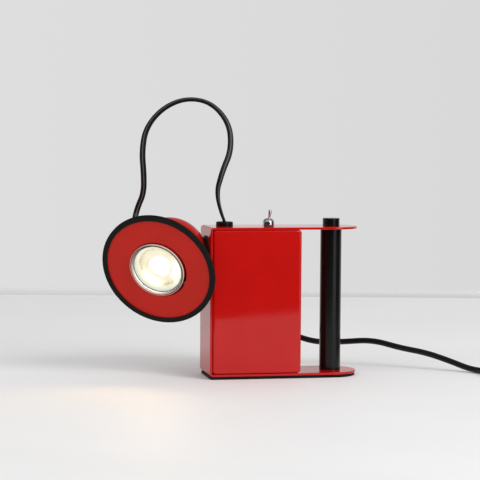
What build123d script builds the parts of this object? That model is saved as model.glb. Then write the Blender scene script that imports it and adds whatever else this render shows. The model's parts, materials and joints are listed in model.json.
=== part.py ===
from build123d import *
from math import cos, pi, radians, sin, sqrt, tan
import os

# Tabletop searchlight lamp. A strip of sheet steel bent into a U carries a box, a handle tube
# and, on its left side, a magnet that holds a ball-shaped lamp head, which can be aimed freely.
# Millimetres. +X is along the base, towards the handle; +Y is to the back; +Z is up.
# The origin is the centre of the base pad's outline, on the table.

os.makedirs("parts", exist_ok=True)

# ------------------------------------------------------------------ driving sizes
# bent frame: bottom plate, left side and top plate of one sheet
frame_length = 134.0
frame_depth = 48.0
frame_height = 128.0
frame_sheet = 2.0
frame_bend = 3.0            # outer radius of the two bends
sheet_edge = 0.35           # rounding of the painted edges

# rubber pad under the frame
pad_thickness = 2.5
pad_inset = 0.8

# folded box between the plates, open at the back, and its cover
case_gap = 31.5             # from the tube's axis to the box's right side
case_sheet = 1.5
case_play = 0.3             # gap between the frame's side and the box
case_corner = 3.2           # corners seen from the front
case_bend = 2.0             # front edges
ear_size = 9.0
cover_sheet = 1.5

# machine screws of the cover, and countersunk ones of the case and the base
small_screw_radius = 1.5
small_head_radius = 2.8
pan_head_height = 1.8
small_screw_length = 7.0
base_screw_radius = 2.0
base_head_radius = 3.8
base_screw_length = 9.0
hole_clearance = 0.2        # radial, of every plain hole round its screw or shank
thread_clearance = 0.05     # radial, between a thread and its nut
case_screw_inset = 5.6      # from the box's right side
case_screw_y = -1.0
slot_width = 0.7
slot_depth = 0.5

# handle tube with its tie rod
tube_inset = 22.5           # its axis from the frame's right end
tube_radius = 9.25
tube_wall = 1.5
rod_radius = 3.0
rod_head_radius = 7.0
rod_head_height = 1.7
rod_reach = 5.0             # above the top plate, inside the knob
bush_height = 6.0
knob_radius = 7.4
knob_height = 6.8
knob_chamfer = 0.7
pad_hole_radius = 8.0

# gland of the head's cord on the top plate
gland_inset = 16.5          # its axis from the frame's left side
gland_radius = 7.4
gland_height = 4.0
gland_shank_radius = 5.0
gland_shank = 9.5
gland_chamfer = 1.2
gland_nut_across = 14.0
gland_nut_height = 4.0

# toggle switch
switch_inset = 24.6         # its axis from the box's right side
bushing_radius = 3.0
bushing_bore = 2.2
bushing_reach = 4.8         # above the top plate
socket_depth = 6.2
switch_length = 13.2
switch_width = 8.0
switch_height = 9.5
switch_nut_across = 8.0
switch_nut_height = 2.0
lug_length = 4.5
dome_radius = 5.25
dome_height = 6.7
dome_skirt = 2.6            # straight part of the dome nut
dome_mouth = 2.05
lever_reach = 11.6          # from the pivot to the lever's tip
lever_lean = 7.8            # degrees from upright, towards +X
lever_neck_radius = 0.95
lever_tip_radius = 1.6
lever_ball_radius = 1.9
lever_tail = 2.8
pivot_drop = 2.1            # pivot below the bushing's mouth

# transformer in the foot of the box
core_play = 1.75            # from the bracket's feet to the box's walls
core_height = 45.0
core_stack = 22.0
coil_overhang = 8.5         # winding beyond the stack, front and back
coil_play = 0.3
coil_corner = 4.0
bracket_sheet = 1.0
bracket_width = 20.0
bracket_foot = 7.6
nut_across = 7.0
nut_height = 3.0
block_length = 30.0
block_width = 16.0
block_height = 8.0
tower_radius = 3.6
tower_height = 5.0
tower_pitch = 9.0
tower_count = 3

# lamp head: its ball, and the magnet seat that holds it
ball_radius = 33.4
ball_drop = 25.4            # centre of the ball below the top plate's upper face
ball_sink = 1.3             # how far the ball dips into the frame's side, inside the seat
ball_wall = 1.2
seat_radius = 17.5
seat_thickness = 1.6
seat_rounding = 0.8
running_gap = 0.3           # between pieces that turn on each other in the seat
ring_inner_radius = 13.0
ring_outer_radius = 15.6
magnet_gap = 0.4            # between the magnet and the ball
step_height = 0.3
sleeve_radius = 14.0
sleeve_wall = 3.0
sleeve_depth = 8.0
sleeve_floor = 1.0
seat_nut_radius = 16.5
seat_nut_height = 3.5

# where the lens looks at rest
lens_azimuth = 31.5         # degrees from -Y towards -X
lens_drop = 23.5            # degrees below level

# front disc with its collar, and the rubber rim round it
disc_offset = 26.0          # front face of the disc, from the ball's centre
disc_radius = 49.2
disc_sheet = 1.5
collar_inner_radius = 25.4
collar_wall = 1.2
collar_back = 11.5
mouth_clearance = 0.1       # radial, of the collar in the ball's mouth
rim_wall = 1.7              # rubber outside the disc's edge
rim_overlap = 2.8           # how far its lips reach in over the disc
rim_lip = 1.0               # rubber before and behind the disc
rim_rounding = 0.9

# reflector lamp, 50 mm
lamp_radius = 25.0
lamp_proud = 1.5            # its glass rim stands in front of the disc
lamp_rim_depth = 5.0
lamp_lip = 22.3             # inner radius of the glass rim
lamp_step = 1.4             # shoulder behind the glass rim
lamp_waist_radius = 19.0
lamp_waist = 14.0
lamp_neck_radius = 8.0
lamp_neck = -6.0
lamp_foot = -15.5
lamp_foot_length = 16.0
lamp_foot_width = 9.0
lens_recess = 3.4           # lens below the glass rim's front
lens_thickness = 1.2
lens_bump_radius = 10.1
lens_bump_height = 2.4
module_offset = 12.0
module_radius = 16.0
module_height = 1.6
lens_ledge = 2.0            # step that the lens sits on
bowl_swell = 2.6            # bulge of the bowl between the plate and the lens
lamp_pin_radius = 0.75
lamp_pin_pitch = 5.3
lamp_pin_length = 7.0

# lamp holder and the sheet bracket that carries it
holder_length = 17.0
holder_width = 9.0
holder_height = 11.0
holder_corner = 1.5
holder_screw_pitch = 22.0
holder_flange_radius = 4.0
holder_flange = 2.5
holder_screw_radius = 1.25
holder_head_radius = 2.4
strap_sheet = 1.0
strap_ring_height = 3.5
strap_width = 8.0
strap_plate_length = 30.0
strap_plate_width = 13.0

# gland of the cord at the back of the ball
head_gland_turn = 82.0      # degrees round the lens axis from the top
head_gland_back = 35.0      # degrees behind the ball's equator
head_gland_radius = 5.4
head_gland_flange = 3.0
head_gland_reach = 7.7
head_gland_tip_radius = 3.3
head_gland_shank_radius = 3.6
head_gland_shank = 6.0
head_gland_nut_radius = 5.0
head_gland_nut_height = 2.4

# cords
head_cord_radius = 2.3
mains_radius = 2.6
relief_inset = 25.0         # its axis from the frame's left side
relief_z = 27.0
relief_length = 24.0
relief_flange_radius = 7.0
relief_flange = 2.0
relief_root_radius = 5.4
relief_tip_radius = 3.7
relief_shank_radius = 4.4
relief_lock_radius = 5.6
relief_lock = 1.8
relief_groove = 0.5
relief_groove_count = 4

# unseen length of the mains cord: a round coil of seven turns, in two layers
coil_x = 222.0
coil_y = -44.0
coil_mean_radius = 30.0
lower_turns = 4
upper_turns = 3
tie_thickness = 0.8
tie_width = 5.0
tie_gap = 0.3
tie_angle = 205.0

# two-pin mains plug
plug_x = 250.0
plug_tail_y = 22.0
plug_boot = 14.0
plug_length = 26.0
plug_width = 35.3
plug_height = 13.7
plug_neck_width = 16.0
plug_boot_radius = 4.2
plug_face = 8.0             # straight part behind the plug's front
plug_corner = 5.0
plug_rounding = 1.5
boot_wall = 0.8
plug_pin_radius = 2.0
plug_pin_pitch = 18.8
plug_pin_length = 19.0

# ------------------------------------------------------------------ derived levels
left_x = -frame_length / 2
right_x = frame_length / 2
half_depth = frame_depth / 2
base_z = pad_thickness                   # underside of the bottom plate
deck_z = base_z + frame_sheet            # its upper face
top_z = base_z + frame_height            # upper face of the top plate
ceiling_z = top_z - frame_sheet          # its underside
tube_x = right_x - tube_inset
case_left = left_x + frame_sheet + case_play
case_right = tube_x - case_gap
case_screw_x = case_right - case_screw_inset
switch_x = case_right - switch_inset
gland_x = left_x + gland_inset
relief_x = left_x + relief_inset
case_centre_x = (case_left + case_right) / 2
case_centre_z = (deck_z + ceiling_z) / 2
case_length = case_right - case_left
case_height = ceiling_z - deck_z
case_floor_z = deck_z + case_sheet       # inside of the box's bottom
case_roof_z = ceiling_z - case_sheet     # inside of its top
cover_y = half_depth - cover_sheet       # inner face of the cover
transformer_x = case_centre_x
core_length = case_length - 2 * (case_sheet + core_play + bracket_foot + bracket_sheet)
core_leg = core_length / 3               # centre leg; the outer legs are half of it

ball_height = top_z - ball_drop          # centre of the ball above the table
ball_centre = Vector(left_x + ball_sink - ball_radius, 0, ball_height)
seat_axis = Axis(ball_centre, (1, 0, 0))
azimuth = radians(lens_azimuth)
drop = radians(lens_drop)
lens_dir = Vector(-sin(azimuth) * cos(drop), -cos(azimuth) * cos(drop), -sin(drop))
tilt_dir = lens_dir.cross(Vector(-1, 0, 0)).normalized()
lens_axis = Axis(ball_centre, lens_dir)
# in head_section, x is the distance from the lens axis and y the distance along it
head_section = Plane(origin=ball_centre, x_dir=tilt_dir, z_dir=tilt_dir.cross(lens_dir))


def across_lens(distance):
    """Plane square to the lens axis, at a distance in front of the ball's centre."""
    return Plane(origin=ball_centre + lens_dir * distance, x_dir=tilt_dir, z_dir=lens_dir)


def base_plan(inset):
    """Plan of the base in the sketch at hand: square at the left, half round at the right."""
    radius = half_depth - inset
    round_x = right_x - half_depth
    with BuildLine() as plan:
        Polyline((round_x, -radius), (left_x + inset, -radius), (left_x + inset, radius), (round_x, radius))
        ThreePointArc((round_x, radius), (round_x + radius, 0), (round_x, -radius))
    make_face(plan.edges())


def corner_radii(points):
    """Radius for each corner of a cord's route: 0.45 of the shorter run over tan(half the turn)."""
    places = [Vector(*p) for p in points]
    found = []
    for before, corner, after in zip(places, places[1:], places[2:]):
        shorter = min((corner - before).length, (after - corner).length)
        turn = (corner - before).get_angle(after - corner)
        found.append(0.45 * shorter / tan(radians(turn / 2)))
    return found


def cord_tube(name, points, radius):
    """Round cord along straight runs joined by tangent arcs; prints its radii and its volume."""
    radii = corner_radii(points)
    start = Vector(*points[0])
    with BuildPart() as cord:
        with BuildLine() as route:
            FilletPolyline(*points, radius=radii)
        with BuildSketch(Plane(origin=start, z_dir=Vector(*points[1]) - start)):
            Circle(radius)
        sweep(path=route.wire())
    length = route.wire().length
    print(name, "radii", [round(r, 1) for r in radii], "length", round(length, 1))
    print(name, "volume over section times length", round(cord.part.volume / (pi * radius**2 * length), 4))
    return cord


def pieces(name, solids):
    """One node of several like pieces that stay separate solids."""
    group = Compound(label=name, children=solids)
    export_step(group, f"parts/{name}.step")


def save(name, built):
    built.part.label = name
    export_step(built.part, f"parts/{name}.step")


# ------------------------------------------------------------------ frame and pad
with BuildPart() as wrap_frame:
    with BuildSketch(Plane.XZ) as wrap_profile:
        with BuildLine():
            Polyline(
                (right_x, base_z),
                (left_x, base_z),
                (left_x, top_z),
                (right_x, top_z),
                (right_x, ceiling_z),
                (left_x + frame_sheet, ceiling_z),
                (left_x + frame_sheet, deck_z),
                (right_x, deck_z),
                close=True,
            )
        make_face()
        fillet(wrap_profile.vertices().group_by(Axis.X)[0], frame_bend)
        inner_corners = wrap_profile.vertices().filter_by_position(
            Axis.X, left_x + frame_sheet - 0.01, left_x + frame_sheet + 0.01
        )
        fillet(inner_corners, frame_bend - frame_sheet)
    extrude(amount=half_depth, both=True)
    with BuildSketch(Plane.XY.offset(base_z)):
        base_plan(0)
    extrude(amount=frame_height, mode=Mode.INTERSECT)
    fillet(wrap_frame.edges().filter_by(lambda e: e.length > frame_sheet + 0.5), sheet_edge)
    with Locations((gland_x, 0, top_z)):
        Hole(gland_shank_radius + hole_clearance, depth=frame_sheet)
    with Locations((switch_x, 0, top_z)):
        Hole(bushing_radius + hole_clearance, depth=frame_sheet)
    with Locations((case_screw_x, case_screw_y, top_z)):
        CounterSinkHole(
            small_screw_radius + hole_clearance, small_head_radius + hole_clearance, depth=frame_sheet
        )
    with Locations((tube_x, 0, top_z), (tube_x, 0, deck_z)):
        Hole(rod_radius + hole_clearance, depth=frame_sheet)
    with Locations(Plane(origin=(left_x, 0, ball_height), z_dir=(-1, 0, 0))):
        Hole(sleeve_radius + hole_clearance, depth=frame_sheet)
    foot_screw_x = core_length / 2 + bracket_sheet + bracket_foot / 2
    foot_places = [transformer_x - foot_screw_x, transformer_x + foot_screw_x]
    for x in foot_places:
        with Locations(Plane(origin=(x, 0, base_z), z_dir=(0, 0, -1))):
            CounterSinkHole(
                base_screw_radius + hole_clearance, base_head_radius + hole_clearance, depth=frame_sheet
            )
save("wrap_frame", wrap_frame)

with BuildPart() as base_pad:
    with BuildSketch() as pad_plan:
        base_plan(pad_inset)
        fillet(pad_plan.vertices().group_by(Axis.X)[0], frame_bend)
        with Locations((tube_x, 0)):
            Circle(pad_hole_radius, mode=Mode.SUBTRACT)
    extrude(amount=pad_thickness)
    fillet(base_pad.faces().sort_by(Axis.Z)[0].outer_wire().edges(), sheet_edge)
save("base_pad", base_pad)

# ------------------------------------------------------------------ box, cover and their screws
ear_x = case_length / 2 - case_sheet - ear_size / 2
ear_z = case_height / 2 - case_sheet - ear_size / 2
ear_places = [(case_centre_x + sx * ear_x, case_centre_z + sz * ear_z) for sx in (-1, 1) for sz in (-1, 1)]

with BuildPart() as box_case:
    with BuildSketch(Plane.XZ.offset(half_depth)):
        with Locations((case_centre_x, case_centre_z)):
            RectangleRounded(case_length, case_height, case_corner)
    extrude(amount=-(half_depth + cover_y))
    fillet(box_case.faces().sort_by(Axis.Y)[0].edges(), case_bend)
    offset(amount=-case_sheet, openings=box_case.faces().sort_by(Axis.Y)[-1])
    with BuildSketch(Plane.XZ.offset(-cover_y)):
        for sx in (-1, 1):
            for sz in (-1, 1):
                with Locations((case_centre_x + sx * ear_x, case_centre_z + sz * ear_z)):
                    Rectangle(ear_size + case_sheet, ear_size + case_sheet)
        with Locations((case_centre_x, case_centre_z)):
            RectangleRounded(case_length, case_height, case_corner, mode=Mode.INTERSECT)
    extrude(amount=case_sheet)
    for x, z in ear_places:
        with Locations(Plane(origin=(x, cover_y, z), z_dir=(0, 1, 0))):
            Hole(small_screw_radius + thread_clearance, depth=case_sheet)
    with Locations((gland_x, 0, ceiling_z)):
        Hole(gland_shank_radius + hole_clearance, depth=case_sheet)
    with Locations((switch_x, 0, ceiling_z)):
        Hole(bushing_radius + hole_clearance, depth=case_sheet)
    with Locations((case_screw_x, case_screw_y, ceiling_z)):
        Hole(small_screw_radius + thread_clearance, depth=case_sheet)
    with Locations(*[(x, 0, case_floor_z) for x in foot_places]):
        Hole(base_screw_radius + hole_clearance, depth=case_sheet)
    with Locations(Plane(origin=(case_left, 0, ball_height), z_dir=(-1, 0, 0))):
        Hole(sleeve_radius + hole_clearance, depth=case_sheet)
save("box_case", box_case)

with BuildPart() as rear_cover:
    with BuildSketch(Plane.XZ.offset(-half_depth)):
        with Locations((case_centre_x, case_centre_z)):
            RectangleRounded(case_length, case_height, case_corner)
    extrude(amount=cover_sheet)
    fillet(rear_cover.faces().sort_by(Axis.Y)[-1].edges(), sheet_edge)
    for x, z in ear_places:
        with Locations(Plane(origin=(x, half_depth, z), z_dir=(0, 1, 0))):
            Hole(small_screw_radius + hole_clearance, depth=cover_sheet)
    with Locations(Plane(origin=(relief_x, half_depth, relief_z), z_dir=(0, 1, 0))):
        Hole(relief_shank_radius + hole_clearance, depth=cover_sheet)
save("rear_cover", rear_cover)

cover_screw_list = []
for x, z in ear_places:
    with BuildPart() as cover_screw:
        with BuildSketch(Plane(origin=(x, half_depth, z), z_dir=(0, 1, 0))):
            Circle(small_head_radius)
        extrude(amount=pan_head_height)
        fillet(cover_screw.faces().sort_by(Axis.Y)[-1].edges(), pan_head_height / 2)
        with BuildSketch(Plane(origin=(x, half_depth, z), z_dir=(0, -1, 0))):
            Circle(small_screw_radius)
        extrude(amount=small_screw_length)
        with BuildSketch(Plane(origin=(x, half_depth + pan_head_height, z), z_dir=(0, 1, 0))):
            Rectangle(2 * small_head_radius, slot_width)
        extrude(amount=-slot_depth, mode=Mode.SUBTRACT)
    cover_screw_list.append(cover_screw.part)
pieces("cover_screws", cover_screw_list)


def countersunk_screw(seat, head_radius, shank_radius, length):
    """Flush screw along -z of its seat plane: a 45 degree head with a slot, and its shank."""
    turned = Plane(origin=seat.origin, x_dir=seat.x_dir, z_dir=seat.x_dir.cross(seat.z_dir))
    with BuildPart() as screw:
        with BuildSketch(turned):
            with BuildLine():
                Polyline(
                    (0, 0),
                    (head_radius, 0),
                    (shank_radius, shank_radius - head_radius),
                    (shank_radius, -length),
                    (0, -length),
                    close=True,
                )
            make_face()
        revolve(axis=Axis(seat.origin, seat.z_dir))
        with BuildSketch(seat):
            Rectangle(2 * head_radius, slot_width)
        extrude(amount=-slot_depth, mode=Mode.SUBTRACT)
    return screw


case_screw = countersunk_screw(
    Plane(origin=(case_screw_x, case_screw_y, top_z), z_dir=(0, 0, 1)),
    small_head_radius,
    small_screw_radius,
    small_screw_length,
)
save("case_screw", case_screw)

base_screw_list = []
base_nut_list = []
for x in foot_places:
    base_screw = countersunk_screw(
        Plane(origin=(x, 0, base_z), z_dir=(0, 0, -1)), base_head_radius, base_screw_radius, base_screw_length
    )
    base_screw_list.append(base_screw.part)
    with BuildPart() as base_nut:
        with BuildSketch(Plane.XY.offset(case_floor_z + bracket_sheet)):
            with Locations((x, 0)):
                RegularPolygon(nut_across / 2, 6, major_radius=False, rotation=30)
                Circle(base_screw_radius + thread_clearance, mode=Mode.SUBTRACT)
        extrude(amount=nut_height)
    base_nut_list.append(base_nut.part)
pieces("base_screws", base_screw_list)
pieces("base_nuts", base_nut_list)

# ------------------------------------------------------------------ handle tube
with BuildPart() as handle_tube:
    with BuildSketch(Plane.XY.offset(deck_z)):
        with Locations((tube_x, 0)):
            Circle(tube_radius)
            Circle(tube_radius - tube_wall, mode=Mode.SUBTRACT)
    extrude(amount=ceiling_z - deck_z)
save("handle_tube", handle_tube)

bush_list = []
for z in (deck_z, ceiling_z - bush_height):
    with BuildPart() as bush:
        with BuildSketch(Plane.XY.offset(z)):
            with Locations((tube_x, 0)):
                Circle(tube_radius - tube_wall - thread_clearance)
                Circle(rod_radius + thread_clearance, mode=Mode.SUBTRACT)
        extrude(amount=bush_height)
    bush_list.append(bush.part)
pieces("tube_bushes", bush_list)

with BuildPart() as tie_rod:
    with BuildSketch(Plane.XY.offset(base_z - rod_head_height)):
        with Locations((tube_x, 0)):
            Circle(rod_head_radius)
    extrude(amount=rod_head_height)
    fillet(tie_rod.faces().sort_by(Axis.Z)[0].edges(), rod_head_height / 3)
    with BuildSketch(Plane.XY.offset(base_z)):
        with Locations((tube_x, 0)):
            Circle(rod_radius)
    extrude(amount=frame_height + rod_reach)
save("tie_rod", tie_rod)

with BuildPart() as tube_knob:
    with BuildSketch(Plane.XY.offset(top_z)):
        with Locations((tube_x, 0)):
            Circle(knob_radius)
    extrude(amount=knob_height)
    fillet(tube_knob.faces().sort_by(Axis.Z)[-1].edges(), knob_chamfer)
    with BuildSketch(Plane.XY.offset(top_z)):
        with Locations((tube_x, 0)):
            Circle(rod_radius + thread_clearance)
    extrude(amount=rod_reach + hole_clearance, mode=Mode.SUBTRACT)
save("tube_knob", tube_knob)

# ------------------------------------------------------------------ gland on the top plate
with BuildPart() as top_gland:
    with BuildSketch(Plane.XY.offset(top_z)):
        with Locations((gland_x, 0)):
            Circle(gland_radius)
    extrude(amount=gland_height)
    fillet(top_gland.faces().sort_by(Axis.Z)[-1].edges(), gland_height / 4)
    with BuildSketch(Plane.XY.offset(top_z - gland_shank)):
        with Locations((gland_x, 0)):
            Circle(gland_shank_radius)
    extrude(amount=gland_shank)
    with Locations((gland_x, 0, top_z + gland_height)):
        CounterSinkHole(
            head_cord_radius + hole_clearance,
            head_cord_radius + gland_chamfer,
            depth=gland_shank + gland_height,
        )
save("top_gland", top_gland)

with BuildPart() as gland_nut:
    with BuildSketch(Plane.XY.offset(case_roof_z - gland_nut_height)):
        with Locations((gland_x, 0)):
            RegularPolygon(gland_nut_across / 2, 6, major_radius=False)
            Circle(gland_shank_radius + thread_clearance, mode=Mode.SUBTRACT)
    extrude(amount=gland_nut_height)
save("gland_nut", gland_nut)

# ------------------------------------------------------------------ toggle switch
switch_top_z = case_roof_z - switch_nut_height
bushing_mouth_z = top_z + bushing_reach
with BuildPart() as switch_body:
    with BuildSketch(Plane.XY.offset(switch_top_z - switch_height)):
        with Locations((switch_x, 0)):
            RectangleRounded(switch_length, switch_width, 0.8)
    extrude(amount=switch_height)
    with BuildSketch(Plane.XY.offset(switch_top_z)):
        with Locations((switch_x, 0)):
            Circle(bushing_radius)
    extrude(amount=bushing_mouth_z - switch_top_z)
    with Locations((switch_x, 0, bushing_mouth_z)):
        Hole(bushing_bore, depth=socket_depth)
    with BuildSketch(Plane.XY.offset(switch_top_z - switch_height)):
        with GridLocations(switch_length / 3, 0, 3, 1):
            with Locations((switch_x, 0)):
                Rectangle(1.0, 2.4)
    extrude(amount=-lug_length)
save("switch_body", switch_body)

with BuildPart() as switch_nut:
    with BuildSketch(Plane.XY.offset(switch_top_z)):
        with Locations((switch_x, 0)):
            RegularPolygon(switch_nut_across / 2, 6, major_radius=False)
            Circle(bushing_radius + thread_clearance, mode=Mode.SUBTRACT)
    extrude(amount=switch_nut_height)
save("switch_nut", switch_nut)

dome_side = bushing_radius + thread_clearance
dome_wall = 0.8
with BuildPart() as switch_dome_nut:
    with BuildSketch(Plane.XZ):
        with BuildLine():
            Line((switch_x + dome_side, top_z), (switch_x + dome_radius, top_z))
            Line((switch_x + dome_radius, top_z), (switch_x + dome_radius, top_z + dome_skirt))
            ThreePointArc(
                (switch_x + dome_radius, top_z + dome_skirt),
                (switch_x + dome_radius * 0.82, top_z + dome_skirt + (dome_height - dome_skirt) * 0.66),
                (switch_x + dome_mouth, top_z + dome_height),
            )
            Line(
                (switch_x + dome_mouth, top_z + dome_height),
                (switch_x + dome_mouth, top_z + dome_height - dome_wall),
            )
            Line(
                (switch_x + dome_mouth, top_z + dome_height - dome_wall),
                (switch_x + dome_side, bushing_mouth_z + hole_clearance),
            )
            Line((switch_x + dome_side, bushing_mouth_z + hole_clearance), (switch_x + dome_side, top_z))
        make_face()
    revolve(axis=Axis((switch_x, 0, 0), (0, 0, 1)))
save("switch_dome_nut", switch_dome_nut)

pivot = Vector(switch_x, 0, bushing_mouth_z - pivot_drop)
lean = radians(lever_lean)
lever_dir = Vector(sin(lean), 0, cos(lean))
# in lever_section, x is the distance from the lever's axis and y the distance along it
lever_section = Plane(origin=pivot, x_dir=(cos(lean), 0, -sin(lean)), z_dir=(0, -1, 0))
with BuildPart() as toggle_lever:
    with BuildSketch(lever_section):
        ball_top = sqrt(lever_ball_radius**2 - lever_neck_radius**2)
        with BuildLine():
            Line((0, -lever_tail), (lever_neck_radius * 0.7, -lever_tail))
            Line((lever_neck_radius * 0.7, -lever_tail), (lever_neck_radius, -ball_top))
            ThreePointArc(
                (lever_neck_radius, -ball_top), (lever_ball_radius, 0), (lever_neck_radius, ball_top)
            )
            Line((lever_neck_radius, ball_top), (lever_neck_radius, lever_reach * 0.42))
            Line((lever_neck_radius, lever_reach * 0.42), (lever_tip_radius, lever_reach - lever_tip_radius))
            ThreePointArc(
                (lever_tip_radius, lever_reach - lever_tip_radius),
                (lever_tip_radius * sqrt(0.5), lever_reach - lever_tip_radius * (1 - sqrt(0.5))),
                (0, lever_reach),
            )
            Line((0, lever_reach), (0, -lever_tail))
        make_face()
    revolve(axis=Axis(pivot, lever_dir))
save("toggle_lever", toggle_lever)

# ------------------------------------------------------------------ transformer and terminals
core_bottom_z = case_floor_z
core_top_z = core_bottom_z + core_height
core_mid_z = (core_bottom_z + core_top_z) / 2
window_width = core_leg / 2
window_height = core_height - core_leg
with BuildPart() as transformer_core:
    with BuildSketch(Plane.XZ):
        with Locations((transformer_x, core_mid_z)):
            Rectangle(core_length, core_height)
            with Locations(((core_leg + window_width) / 2, 0), (-(core_leg + window_width) / 2, 0)):
                Rectangle(window_width, window_height, mode=Mode.SUBTRACT)
    extrude(amount=core_stack / 2, both=True)
save("transformer_core", transformer_core)

with BuildPart() as transformer_coil:
    with BuildSketch(Plane.XY.offset(core_mid_z)):
        with Locations((transformer_x, 0)):
            RectangleRounded(
                core_leg + 2 * (window_width - coil_play), core_stack + 2 * coil_overhang, coil_corner
            )
            Rectangle(core_leg + 2 * coil_play, core_stack + 2 * coil_play, mode=Mode.SUBTRACT)
    extrude(amount=window_height / 2 - coil_play, both=True)
save("transformer_coil", transformer_coil)

strap_x = core_length / 2 + bracket_sheet
with BuildPart() as transformer_bracket:
    with BuildSketch(Plane.XZ):
        with Locations((transformer_x, core_bottom_z)):
            with Locations((0, (core_height + bracket_sheet) / 2)):
                Rectangle(2 * strap_x, core_height + bracket_sheet)
            with Locations((0, bracket_sheet / 2)):
                Rectangle(2 * (strap_x + bracket_foot), bracket_sheet)
            with Locations((0, core_height / 2)):
                Rectangle(core_length, core_height, mode=Mode.SUBTRACT)
    extrude(amount=bracket_width / 2, both=True)
    with Locations(*[(x, 0, case_floor_z + bracket_sheet) for x in foot_places]):
        Hole(base_screw_radius + hole_clearance, depth=bracket_sheet)
save("transformer_bracket", transformer_bracket)

with BuildPart() as terminal_block:
    with BuildSketch(Plane.XY.offset(core_top_z + bracket_sheet)):
        with Locations((transformer_x, 0)):
            RectangleRounded(block_length, block_width, 1.0)
    extrude(amount=block_height)
    with BuildSketch(Plane.XY.offset(core_top_z + bracket_sheet + block_height)):
        with Locations((transformer_x, 0)):
            with GridLocations(tower_pitch, 0, tower_count, 1):
                Circle(tower_radius)
    extrude(amount=tower_height)
    with Locations((transformer_x, 0, core_top_z + bracket_sheet + block_height + tower_height)):
        with GridLocations(tower_pitch, 0, tower_count, 1):
            Hole(small_screw_radius, depth=tower_height)
save("terminal_block", terminal_block)

# ------------------------------------------------------------------ magnet seat on the left side
sleeve_end_x = left_x + sleeve_depth
with BuildPart() as magnet_housing:
    with BuildSketch(Plane.XZ):
        with BuildLine():
            Polyline(
                (sleeve_end_x, ball_height),
                (sleeve_end_x, ball_height + sleeve_radius),
                (left_x, ball_height + sleeve_radius),
                (left_x, ball_height + seat_radius),
                (left_x - seat_thickness, ball_height + seat_radius),
                (left_x - seat_thickness, ball_height + ring_outer_radius + running_gap),
                (left_x - step_height, ball_height + ring_outer_radius + running_gap),
                (left_x - step_height, ball_height + sleeve_radius - sleeve_wall),
                (sleeve_end_x - sleeve_floor, ball_height + sleeve_radius - sleeve_wall),
                (sleeve_end_x - sleeve_floor, ball_height),
                close=True,
            )
        make_face()
    revolve(axis=seat_axis)
    seat_front = magnet_housing.edges().filter_by(GeomType.CIRCLE).group_by(Axis.X)[0]
    fillet(seat_front.sort_by(lambda e: e.radius)[-1], seat_rounding)
save("magnet_housing", magnet_housing)

with BuildPart() as magnet:
    with BuildSketch(Plane(origin=(sleeve_end_x - sleeve_floor, 0, ball_height), z_dir=(-1, 0, 0))):
        Circle(sleeve_radius - sleeve_wall - thread_clearance)
    extrude(amount=sleeve_depth - sleeve_floor - ball_sink - magnet_gap)
save("magnet", magnet)

with BuildPart() as seat_nut:
    with BuildSketch(Plane(origin=(case_left + case_sheet, 0, ball_height), z_dir=(1, 0, 0))):
        RegularPolygon(seat_nut_radius, 8)
        Circle(sleeve_radius + thread_clearance, mode=Mode.SUBTRACT)
    extrude(amount=seat_nut_height)
save("seat_nut", seat_nut)

ring_back_x = left_x - step_height - running_gap
ring_mid_radius = (ring_inner_radius + ring_outer_radius) / 2
with BuildPart() as seat_ring:
    with BuildSketch(Plane.XZ):
        with Locations((ring_back_x - seat_thickness / 2, ball_height + ring_mid_radius)):
            Rectangle(seat_thickness, ring_outer_radius - ring_inner_radius)
        with Locations((ball_centre.X, ball_centre.Z)):
            Circle(ball_radius + running_gap, mode=Mode.SUBTRACT)
    revolve(axis=seat_axis)
save("seat_ring", seat_ring)

# ------------------------------------------------------------------ lamp head: ball, disc and rim
collar_outer_radius = collar_inner_radius + collar_wall
ball_inner_radius = ball_radius - ball_wall
mouth_y = sqrt(ball_inner_radius**2 - (collar_outer_radius + mouth_clearance) ** 2)
turn = radians(head_gland_turn)
back = radians(head_gland_back)
above = (Vector(0, 0, 1) - lens_dir * lens_dir.Z).normalized()
beside = lens_dir.cross(above)
gland_dir = (above * cos(turn) + beside * sin(turn)) * cos(back) - lens_dir * sin(back)


def gland_plane(distance):
    """Plane square to the head gland's axis, at a distance from the ball's centre."""
    return Plane(origin=ball_centre + gland_dir * distance, z_dir=gland_dir)


with BuildPart() as head_shell:
    with BuildSketch(head_section):
        Circle(ball_radius)
        Circle(ball_inner_radius, mode=Mode.SUBTRACT)
        with Locations((ball_radius / 2, (mouth_y - ball_radius) / 2)):
            Rectangle(ball_radius, ball_radius + mouth_y, mode=Mode.INTERSECT)
    revolve(axis=lens_axis)
    with BuildSketch(gland_plane(ball_radius)):
        Circle(head_gland_shank_radius + hole_clearance)
    extrude(amount=-2 * ball_wall, mode=Mode.SUBTRACT)
save("head_shell", head_shell)

disc_back = disc_offset - disc_sheet
with BuildPart() as flange_disc:
    with BuildSketch(head_section) as disc_profile:
        with BuildLine():
            Polyline(
                (collar_inner_radius, collar_back),
                (collar_inner_radius, disc_offset),
                (disc_radius, disc_offset),
                (disc_radius, disc_back),
                (collar_outer_radius, disc_back),
                (collar_outer_radius, collar_back),
                close=True,
            )
        make_face()
        fillet(disc_profile.vertices().group_by(Axis.X)[0].sort_by(Axis.Y)[-1], disc_sheet / 3)
    revolve(axis=lens_axis)
save("flange_disc", flange_disc)

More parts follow.
